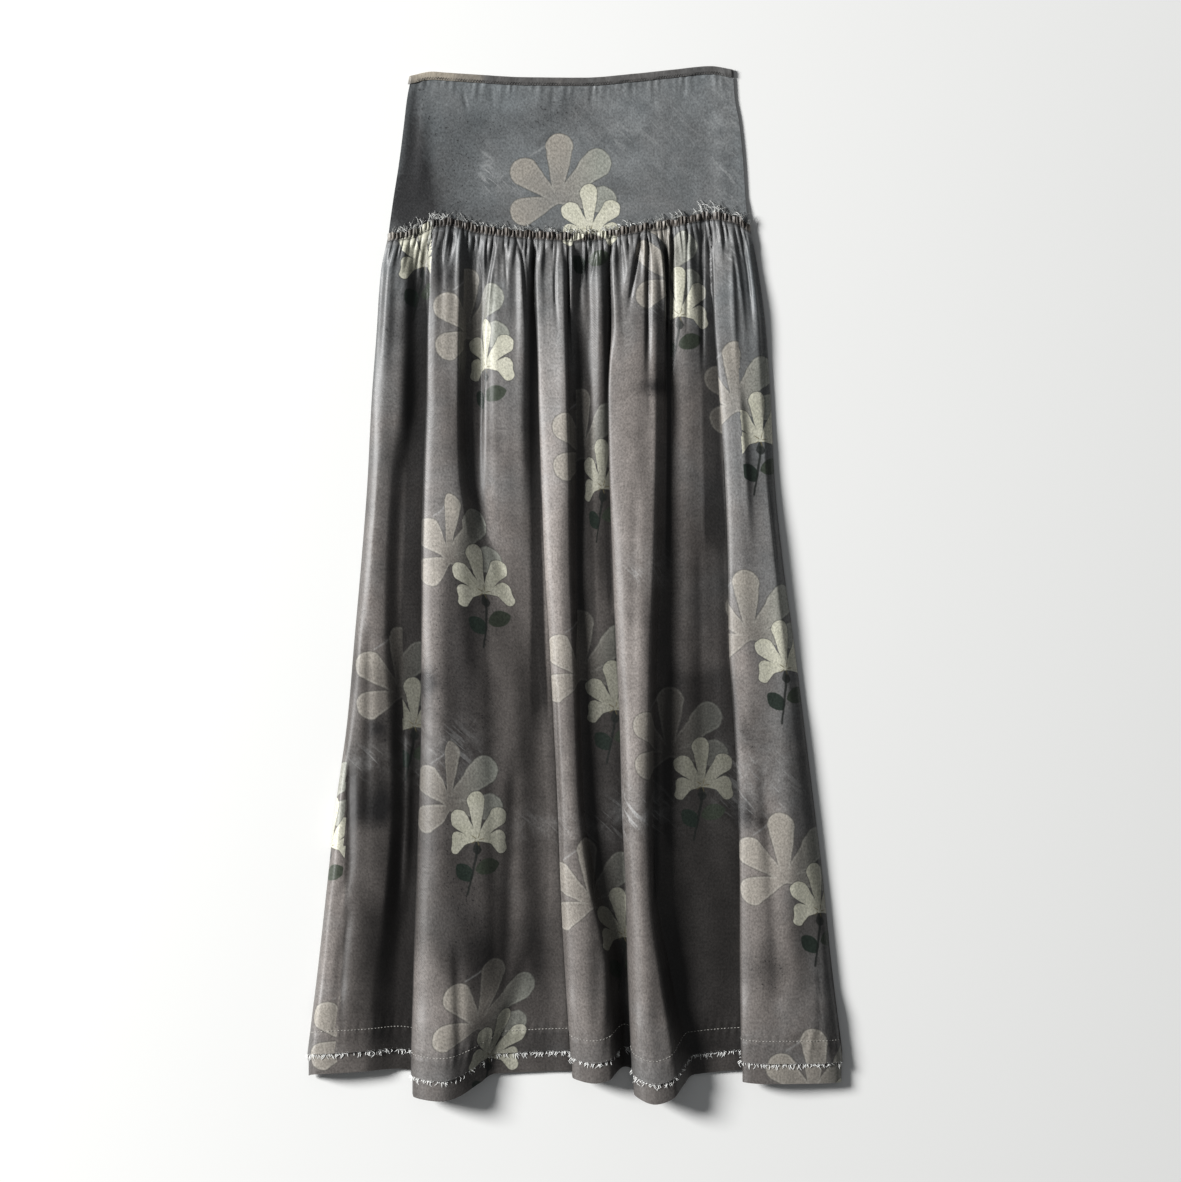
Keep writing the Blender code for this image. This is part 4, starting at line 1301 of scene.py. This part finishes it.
def topMarks(down):
    section = Section(down)
    share = np.linspace(0, 1, frontDensity["topColumns"])
    return share, section.marksAcross(between(section.across[0], section.across[-1], share))


upperMarks = marksByLength((240, 300, 420), frontDensity["middleLength"])
lowerMarks = marksByLength((430, 560, 700, 860, 984), frontDensity["lowLength"])


def middleMarks(down):
    return upperMarks, upperMarks


def lowMarks(down):
    return lowerMarks, lowerMarks


frontGroups = (
    (
        steps(seamDown - header, seamDown + 4, 1.2) + steps(seamDown + 5.5, seamDown + 62, 1.6),
        [seamDown + below for below in (-header, -5, -2, 1, 5, 10, 17, 26, 38, 50, 62)],
        topMarks,
    ),
    (steps(seamDown + 64, seamDown + 250, 4), steps(seamDown + 66, seamDown + 250, 16), middleMarks),
    (
        steps(seamDown + 256, rawEdgeDown - 44, 7) + steps(rawEdgeDown - 40, rawEdgeDown, 2.5),
        steps(seamDown + 260, rawEdgeDown - 48, 25) + steps(rawEdgeDown - 36, rawEdgeDown, 9),
        lowMarks,
    ),
)
skirtFront = frontCloth("skirtFrontCloth", frontGroups, 0.0, skirtViscose, motifCentres["front"])
print("front made", sum(len(p.vertices) - 2 for p in skirtFront.data.polygons))

bandInward = solidWall + hem["bandGap"]
bandEnds = rawEdgeDown - hem["bandOverlap"], rawEdgeDown + hem["bandShows"]
bandGroups = ((steps(*bandEnds, 2.4), steps(*bandEnds, 7), lowMarks),)
bandMotifs = motifCentres["bandFront"], motifCentres["bandUnderFold"]
hemBandFront = frontCloth("hemBandFrontCloth", bandGroups, bandInward, bandViscose, *bandMotifs)
print("front band made")


def flatCloth(name, rows, material, motifs, seenFrom):
    # rows: (across, down, height of the underside, height of the top) from the top row down
    cloth = Cloth()
    for face in ("outer", "inner"):
        for across, down, under, top in rows:
            z = top if face == "outer" else under
            points = np.stack([across, halfLength - down, z], 1)
            keys = np.linspace(0, 1, len(across))
            cloth.addRow(face, points, keys, keys, np.stack([across, -down], 1), float(down[0]))
    points = np.concatenate(cloth.points)
    made = makePiece(name, points, cloth.faces(), material)
    side = 1.0 if seenFrom == "above" else -1.0
    half = sum(len(row[0]) for row in rows)
    printed = (np.arange(len(points)) < half) == (seenFrom == "above")

    def place(across, down):
        return np.stack([side * (points[:, 0] - across), points[:, 1] - (halfLength - down)], 1)

    printMap(made, allPlaces(motifs, place), printed, motifs)
    clothMaps(made, points, np.concatenate(cloth.flat))
    return made


# Yoke: short puckers under the binding, a few soft creases and a lift over the skirt's top edge
yoke = {
    "bindingHeight": 8.0,
    "gap": 0.3,
    "underSkirt": 9.0,
    "puckers": {"count": 41, "uneven": 0.3, "size": (0.6, 0.4, 1.7, 0.0), "ownReach": (1, 0.6, 2.3, 1.1)},
    "puckerDepth": 0.75,
    "puckerReach": 20.0,
    "slack": 0.25,
    # Across of its top and low corners, and where it rises over the skirt's raw edge
    "topCorners": (-164.0, 158.0),
    "lowCorners": (-186.0, 175.0),
    "rises": (28, 6),
    "rows": 70,
    "frontColumns": 300,
    "backColumns": 61,
}
yokeCreases = (
    (-113, 20, -110, 35, -106, 52, 2.0, -0.9),
    (-158, 20, -162, 70, -168, 130, 7, -0.9),
    (-150, 30, -152, 90, -160, 150, 6, 0.7),
    (146, 30, 148, 90, 152, 150, 8, 0.8),
    (160, 10, 161, 30, 160, 54, 2.2, -0.9),
    (-60, 20, -52, 60, -40, 110, 14, 0.5),
    (40, 30, 36, 80, 44, 130, 12, -0.5),
    (90, 16, 84, 60, 92, 120, 9, 0.5),
    (-20, 14, -22, 30, -25, 52, 3, -0.6),
    (18, 14, 17, 26, 15, 44, 2.5, -0.6),
    (-84, 14, -83, 30, -80, 50, 2.5, -0.6),
    (110, 8, 109, 24, 106, 44, 3, -0.6),
)


def yokeSide(side, down):
    return read(yokeSides, yokeColumns, "down", side, down)


def yokeRows(bottom, creased):
    rows = []
    share = np.linspace(0, 1, yoke["frontColumns"] if creased else yoke["backColumns"])
    corners = list(zip(("left", "right"), yoke["topCorners"], yoke["lowCorners"]))
    for t in steps(0, 1, 1 / yoke["rows"]):
        left, right = [
            yokeSide(side, (1 - t) * waistDown(top) + t * seamLine(low)) for side, top, low in corners
        ]
        across = between(left, right, share)
        top = waistDown(across) + yoke["bindingHeight"] + yoke["gap"]
        down = between(top, seamLine(across) + yoke["underSkirt"], t)
        headerTop = seamLine(across) - header
        lifted = bottom + layer * ease(down, *[headerTop - above for above in yoke["rises"]])
        raised = np.zeros_like(across)
        if creased:
            phase = countWaves(across, left, right, yoke["puckers"])
            number = np.floor(phase)
            reach = yoke["puckerReach"] * varied(number, yoke["puckers"]["ownReach"])
            depth = yoke["puckerDepth"] * varied(number, yoke["puckers"]["size"])
            raised = depth * np.sin(math.pi * phase) ** 2 * (1 - ease(down - top, 0, reach))
            slack = yoke["slack"] * slackLift(across, down)
            raised = raised + creaseLift(across, down, yokeCreases) + slack * ease(down - top, 0, 20)
        inset = ease(np.minimum(across - left, right - across), 0, 8)
        topOf = lifted + solidWall + raised * inset
        rows.append((across, down, topOf - clothWall, topOf))
    return rows


yokeFront = flatCloth("yokeFrontCloth", yokeRows(layer, True), yokeViscose, motifCentres["yoke"], "above")
print("yoke front made")

# Back: it rests flat, so its own shallow troughs only rise off the floor
back = {
    "columns": 301,
    "floorGap": 0.02,
    "gatherShare": 0.125,
    "mostTrough": 0.6,
    "flatEdge": 7,
    # The back yoke's cloth lies just over the floor
    "yokeBottom": -0.48,
}
backCreases = tuple(
    (start, 176 + lead, start * 1.12, 420, start * 1.4, 960, half, 0.5)
    for start, lead, half in (
        (-150, 0, 5), (-118, 20, 8), (-88, 5, 4), (-60, 30, 9), (-34, 0, 6), (-8, 14, 7),
        (20, 0, 5), (46, 26, 9), (74, 4, 6), (102, 18, 8), (130, 0, 5), (152, 30, 7),
    )
)


def backRow(down, share, bottom, creased=True):
    section = Section(down)
    low, high = section.across[0], section.across[-1]
    across = low + (high - low) * share
    trough = np.zeros_like(across)
    if creased:
        fine = gatherLift(across, max(down - seamDown, 0.0), across[0], across[-1]) * back["gatherShare"]
        inset = ease(np.minimum(across - across[0], across[-1] - across), 0, back["flatEdge"])
        trough = np.clip(creaseLift(across, down, backCreases) + fine, 0, back["mostTrough"]) * inset
    under = bottom + trough
    return across, down + seamCurve(across, down), under, under + clothWall


backShare = np.linspace(0, 1, back["columns"])
backEdge = rawEdgeDown - hem["backShorter"]
backDowns = steps(seamDown - header, seamDown + 40, 3) + steps(seamDown + 52, backEdge, 14)
backRows = [backRow(down, backShare, back["floorGap"]) for down in backDowns]
skirtBack = flatCloth("skirtBackCloth", backRows, skirtViscose, motifCentres["back"], "below")
bandDowns = steps(backEdge - hem["bandOverlap"], backEdge + hem["bandShows"], 5)
bandRows = [backRow(down, backShare[::3], layer + 0.1, False) for down in bandDowns]
hemBandBack = flatCloth("hemBandBackCloth", bandRows, bandViscose, motifCentres["bandBack"], "below")
yokeBackRows = yokeRows(back["yokeBottom"], False)
yokeBack = flatCloth("yokeBackCloth", yokeBackRows, yokeViscose, motifCentres["yokeBack"], "below")
print("back made")


# Binding: one strip folded over the waist edge, all the way round
binding = {
    "radius": 1.9,
    "floorGap": 0.02,
    "topDown": 12.0,
    "rightTopDown": 8.0,
    "columns": 260,
    # The cloth's own steps round the waist and round the strip's section
    "girthStep": 2.5,
    "levelStep": 1.2,
    # The front's waves: height and width
    "waves": ((0.14, 2.9), (0.1, 6.1)),
    # The strip's section: how far below the waist edge and how far out each point is
    "outside": ((8.0, 1.85), (6.6, 2.05), (4.0, 2.1), (1.6, 2.0), (0.5, 1.8), (0.0, 1.35)),
    "inside": ((0.0, 0.8), (0.5, 0.4), (1.6, 0.25), (7.6, 0.2)),
    "under": ((7.6, 0.7), (1.7, 0.75), (0.8, 1.1), (1.7, 1.45), (6.6, 1.5), (8.0, 1.3)),
}


def waistBinding():
    share = np.linspace(0, 1, binding["columns"])
    outerRadius = binding["radius"]
    (height, wide), (lesser, wider) = binding["waves"]
    loops = []
    for t, radius in binding["outside"] + binding["inside"] + binding["under"]:
        left = yokeSide("left", binding["topDown"] + t)
        right = yokeSide("right", binding["rightTopDown"] + t)
        places = left + outerRadius + (right - left - 2 * outerRadius) * share
        wave = height * np.sin(places / wide) + lesser * np.sin(places / wider + t / 3)
        backRadius = min(radius, outerRadius)
        rightEnd, leftEnd = right - outerRadius + backRadius, left + outerRadius - backRadius
        x = np.concatenate([places, [rightEnd], places[::-1], [leftEnd]])
        front = outerRadius + radius + wave * (radius > 1)
        back = np.full(len(places), outerRadius - backRadius + binding["floorGap"])
        z = np.concatenate([front, [outerRadius], back, [outerRadius]])
        loops.append(np.stack([x, halfLength - waistDown(x) - t, z], 1))
    points = np.concatenate(loops)
    count, around = len(loops[0]), len(loops)
    faces = []
    for level in range(around):
        here, above = level * count, (level + 1) % around * count
        for k in range(count):
            after = (k + 1) % count
            faces.append((here + k, here + after, above + after, above + k))
    made = makePiece("waistBindingCloth", points, faces, bindingViscose, sharp=80)
    girth = np.tile(np.arange(count) * binding["girthStep"], around)
    levels = np.repeat(np.arange(around) * binding["levelStep"], count)
    clothMaps(made, points, np.stack([girth, levels], 1))
    return made


waistBindingMade = waistBinding()
print("binding made")


def threadPiece(name, paths, radius, material, sides=4, taper=0.55):
    # Many short threads as one mesh: a closed tube of few sides along each path, thinner at its ends
    points, faces = [], []
    for path in paths:
        path = np.asarray(path, float)
        tangents = np.gradient(path, axis=0)
        tangents /= np.linalg.norm(tangents, axis=1)[:, None] + 1e-9
        side = np.cross(tangents, (0.0, 0.0, 1.0))
        side[np.linalg.norm(side, axis=1) < 0.1] = (1.0, 0.0, 0.0)
        side /= np.linalg.norm(side, axis=1)[:, None]
        up = np.cross(side, tangents)
        start, last = len(points), len(points) + (len(path) - 1) * sides
        for k, centre in enumerate(path):
            size = radius * (taper if k in (0, len(path) - 1) else 1.0)
            for angle in 2 * math.pi * np.arange(sides) / sides:
                points.append(centre + size * (math.cos(angle) * side[k] + math.sin(angle) * up[k]))
        for ring in range(start, last, sides):
            for turn in range(sides):
                a, b = ring + turn, ring + (turn + 1) % sides
                faces.append((a, b, b + sides, a + sides))
        faces.append(tuple(start + turn for turn in reversed(range(sides))))
        faces.append(tuple(last + turn for turn in range(sides)))
    return makePiece(name, points, faces, material, sharp=60)


# Stitches: the places along one and its height there, then each line's length, gap and bulge and
# its thread's radius
stitching = {
    "along": (0.0, 0.2, 0.5, 0.8, 1.0),
    "up": (-0.6, 0.7, 1.0, 0.7, -0.6),
    "hem": ((2.2, 1.2, 0.34), 0.3),
    "gather": ((2.4, 0.9, 0.2), 0.26),
}


def sewnLine(line, length, gap, bulge):
    # Stitches along a line of points: each dips into the cloth at its ends
    along = lengthAlong(line)
    paths = []
    for start in np.arange(gap, along[-1] - length, length + gap):
        places = start + length * np.array(stitching["along"])
        path = np.stack([np.interp(places, along, line[:, axis]) for axis in range(3)], 1)
        path[:, 2] += bulge * np.array(stitching["up"])
        paths.append(path)
    return paths


hemLine = frontRow(rawEdgeDown - hem["stitchAbove"], np.linspace(0, lowerMarks[-1], 1600))[0]
form, radius = stitching["hem"]
hemStitches = threadPiece("hemTopstitch", sewnLine(hemLine, *form), radius, sewingThread)
form, radius = stitching["gather"]
seamPoints = frontRow(seamDown, topMarks(seamDown)[1])[0]
gatherStitches = threadPiece("gatherStitches", sewnLine(seamPoints, *form), radius, darkThread)

# The binding's zigzag: its places below the waist edge in turn, and its height and the thread's
# radius on the front and back
zigzag = {
    "left": -160.0,
    "right": 157.0,
    "step": 1.3,
    "downs": (5.2, 7.4),
    "front": (4.02, 0.24),
    "back": (0.2, 0.18),
}


def zigzagPath(z):
    return [
        (across, halfLength - waistDown(across) - zigzag["downs"][k % 2], z)
        for k, across in enumerate(np.arange(zigzag["left"], zigzag["right"], zigzag["step"]))
    ]


height, radius = zigzag["front"]
bindingStitch = threadPiece("bindingZigzagStitch", [zigzagPath(height)], radius, darkThread)
height, radius = zigzag["back"]
bindingStitchBack = threadPiece("bindingZigzagStitchBack", [zigzagPath(height)], radius, darkThread)
print("stitches made")

fray = {
    "headerThreads": 270,
    "headerRadius": 0.4,
    # Length of the header's threads: the least, what chance adds, and what it adds near both ends of
    # the seam, which lie so far across and down either side
    "headerLengths": (3.4, 5.0, 9.5),
    "longAt": ((140, 1.0), (-160, 0.8)),
    "longHalf": 26,
    # How they lean and curl: mean and spread, in radians
    "headerLean": (0.2, 0.42),
    "headerCurl": (0.1, 0.5),
    "headerArch": 0.9,
    "startBelow": 0.4,
    "lieAt": 4.9,
    "hemTufts": 250,
    "tuftSpread": 0.0011,
    # The hem's threads end among rows so far below the raw edge, and wander to both sides
    "hemRows": (0.8, 2.4, 4.4, 6.4),
    "hemLengths": (0.2, 0.8),
    "hemSlant": 1.6,
    "hemBend": 1.5,
    "backThreads": 300,
    "backLengths": (1.5, 3),
    "backLean": 0.5,
    "backHeight": 0.3,
    "radius": 0.27,
    "seed": 11,
}
chance = np.random.default_rng(fray["seed"])


def headerFray():
    # Loose threads that stand off the frill's raw edge: longer near both ends of the seam
    keys, marks = topMarks(seamDown - header)
    edgePoints = frontRow(seamDown - header, marks)[0]
    least, more, longMore = fray["headerLengths"]
    paths = []
    for share in np.sort(chance.random(fray["headerThreads"])):
        x, y, z = [np.interp(share, keys, edgePoints[:, axis]) for axis in range(3)]
        long = sum(
            size * math.exp(-(((x - middle) / fray["longHalf"]) ** 2)) for middle, size in fray["longAt"]
        )
        length = least + more * chance.random() ** 2 + long * longMore * chance.random()
        lean = chance.normal(*fray["headerLean"])
        curl = chance.normal(*fray["headerCurl"])
        start = z - fray["startBelow"]
        path = []
        for t in (-0.12, 0.15, 0.4, 0.7, 1.0):
            angle = lean + curl * t
            out = length * t
            arch = fray["headerArch"] * math.sin(math.pi * max(t, 0))
            height = between(start, fray["lieAt"], ease(t, 0, 1.0)) + arch
            path.append((x + out * math.sin(angle), y + out * math.cos(angle), height))
        paths.append(path)
    return threadPiece("headerFray", paths, fray["headerRadius"], frayedThread, sides=3)


def hemFray():
    # Tufts of curly threads below the raw hem edge, lying on the band
    section = Section(rawEdgeDown)
    tufts = fray["hemTufts"]
    tuftShares = (np.arange(tufts) + chance.random(tufts)) / tufts
    shares = np.concatenate([
        share + chance.normal(0, fray["tuftSpread"], 1 + int(5 * chance.random())) for share in tuftShares
    ])
    shares = np.clip(np.sort(shares), 0.006, 0.994)
    marks = np.interp(shares, section.chord / section.chord[-1], np.arange(len(section.names)))
    starts = frontRow(rawEdgeDown - 0.8, marks)[0]
    rows = [frontRow(rawEdgeDown + beyond, marks, bandInward - 0.5)[0] for beyond in fray["hemRows"]]
    least, more = fray["hemLengths"]
    paths = []
    for k, start in enumerate(starts):
        length = least + more * chance.random() ** 1.5
        slant, bend = chance.normal(0.0, fray["hemSlant"]), chance.normal(0.0, fray["hemBend"])
        path = [start]
        for step, row in enumerate(rows, start=1):
            part = step / len(rows)
            point = between(start, row[k], length)
            point[2] = row[k][2] + (start[2] - row[k][2]) * (1 - length) * 0.4
            point[0] += slant * part + bend * math.sin(math.pi * part)
            path.append(point)
        paths.append(path)
    return threadPiece("hemFray", paths, fray["radius"], frayedThread, sides=3)


def backFray():
    # The same on the underside, pressed flat
    least, more = fray["backLengths"]
    paths = []
    for edge, way in ((seamDown - header, 1.0), (backEdge, -1.0)):
        across, down, under, top = backRow(edge, np.sort(chance.random(fray["backThreads"])), 0.0, False)
        for x, y in zip(across, halfLength - down):
            length = way * (least + more * chance.random())
            lean = chance.normal(0.0, fray["backLean"])
            paths.append([
                (x + lean * length * t, y + length * t, fray["backHeight"]) for t in (-0.2, 0.3, 0.7, 1.0)
            ])
    return threadPiece("backFray", paths, fray["radius"], frayedThread, sides=3)


headerFrayMade = headerFray()
hemFrayMade = hemFray()
backFrayMade = backFray()
print("fray made")

# Cut sizes in metres: the panel that shows, before it was gathered or laid
for made, node, slot, flat, held, restsOn, withPieces in (
    (skirtBack, "skirt_back", "skirt_cloth", (0.52, 0.82), "laid", [], [backFrayMade]),
    (hemBandBack, "hem_band_back", "band_cloth", (0.54, 0.043), "laid", [skirtBack], []),
    (yokeBack, "yoke_back", "yoke_cloth", (0.365, 0.172), "laid", [], []),
    (yokeFront, "yoke_front", "yoke_cloth", (0.365, 0.172), "laid", [yokeBack], []),
    (waistBindingMade, "waist_binding", "binding_cloth", (0.65, 0.018), "folded",
     [yokeFront, yokeBack], [bindingStitch, bindingStitchBack]),
    (hemBandFront, "hem_band_front", "band_cloth", (0.80, 0.043), "gathered", [hemBandBack], []),
    (skirtFront, "skirt_front", "skirt_cloth", (0.74, 0.82), "gathered",
     [skirtBack, yokeFront, hemBandFront], [headerFrayMade, hemFrayMade, hemStitches, gatherStitches]),
):
    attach(made, "root")
    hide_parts(node)
    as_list(restsOn)
    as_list(withPieces)
    for extra in withPieces:
        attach(extra, "root")

# Stage: a plain pale floor, one large soft light low on the left and a pale room
stage = {
    "floor": "#f2f2f0",
    "floorCloud": "#e4e4e1",
    "floorSize": 14.0,
    "floorBelow": 0.05 * mm,
    "keyPlace": (-5.9, 1.7, 3.3),
    "keySize": 2.1,
    "keyPower": 930.0,
    "room": "#e4e7ea",
    "roomStrength": 0.17,
    "cameraUp": 4.0,
    "seenHeight": 1.182,
    "middleOfView": (15.5 * mm, -7.25 * mm),
    "sensor": 36.0,
}


def mattPaintedBoard():
    # Board with matt emulsion paint: even and pale, with the faintest clouds
    made, add = newMaterial("mattPaintedBoard")
    place = add("TexCoord", out="Object")
    clouds = add("TexNoise", {"Vector": place, "Scale": 2.0, "Detail": 2.0}, "Fac")
    share = add("MapRange", (clouds, 0.3, 0.7, 0.0, 0.06))
    tones = {0: share, 6: toLinear(stage["floor"]), 7: toLinear(stage["floorCloud"])}
    colour = add("Mix", tones, 2, data_type="RGBA")
    surface = add("BsdfPrincipled", {"Base Color": colour, "Roughness": 0.85, "IOR": 1.5})
    add("OutputMaterial", {"Surface": surface})
    return made


def makeStage():
    half = stage["floorSize"] / 2
    mesh = bpy.data.meshes.new("paleFloor")
    corners = [(-half, -half, 0), (half, -half, 0), (half, half, 0), (-half, half, 0)]
    mesh.from_pydata(corners, [], [(0, 1, 2, 3)])
    mesh.materials.append(mattPaintedBoard())
    floor = addObject("paleFloor", mesh)
    floor.location.z = -stage["floorBelow"]

    light = bpy.data.lights.new("softKey", "AREA")
    light.shape = "DISK"
    light.size = stage["keySize"]
    light.energy = stage["keyPower"]
    key = addObject("softKey", light)
    key.location = stage["keyPlace"]
    key.rotation_euler = (-key.location).to_track_quat("-Z", "Y").to_euler()

    room = bpy.data.worlds.new("paleRoom")
    room.use_nodes = True
    background = room.node_tree.nodes["Background"]
    background.inputs["Color"].default_value = toLinear(stage["room"])
    background.inputs["Strength"].default_value = stage["roomStrength"]
    bpy.context.scene.world = room

    lens = bpy.data.cameras.new("overhead")
    lens.sensor_width = stage["sensor"]
    lens.lens = lens.sensor_width * stage["cameraUp"] / stage["seenHeight"]
    camera = addObject("overhead", lens)
    camera.location = (*stage["middleOfView"], stage["cameraUp"])
    bpy.context.scene.camera = camera
    bpy.context.scene.view_settings.view_transform = "Standard"


makeStage()
print("stage made")
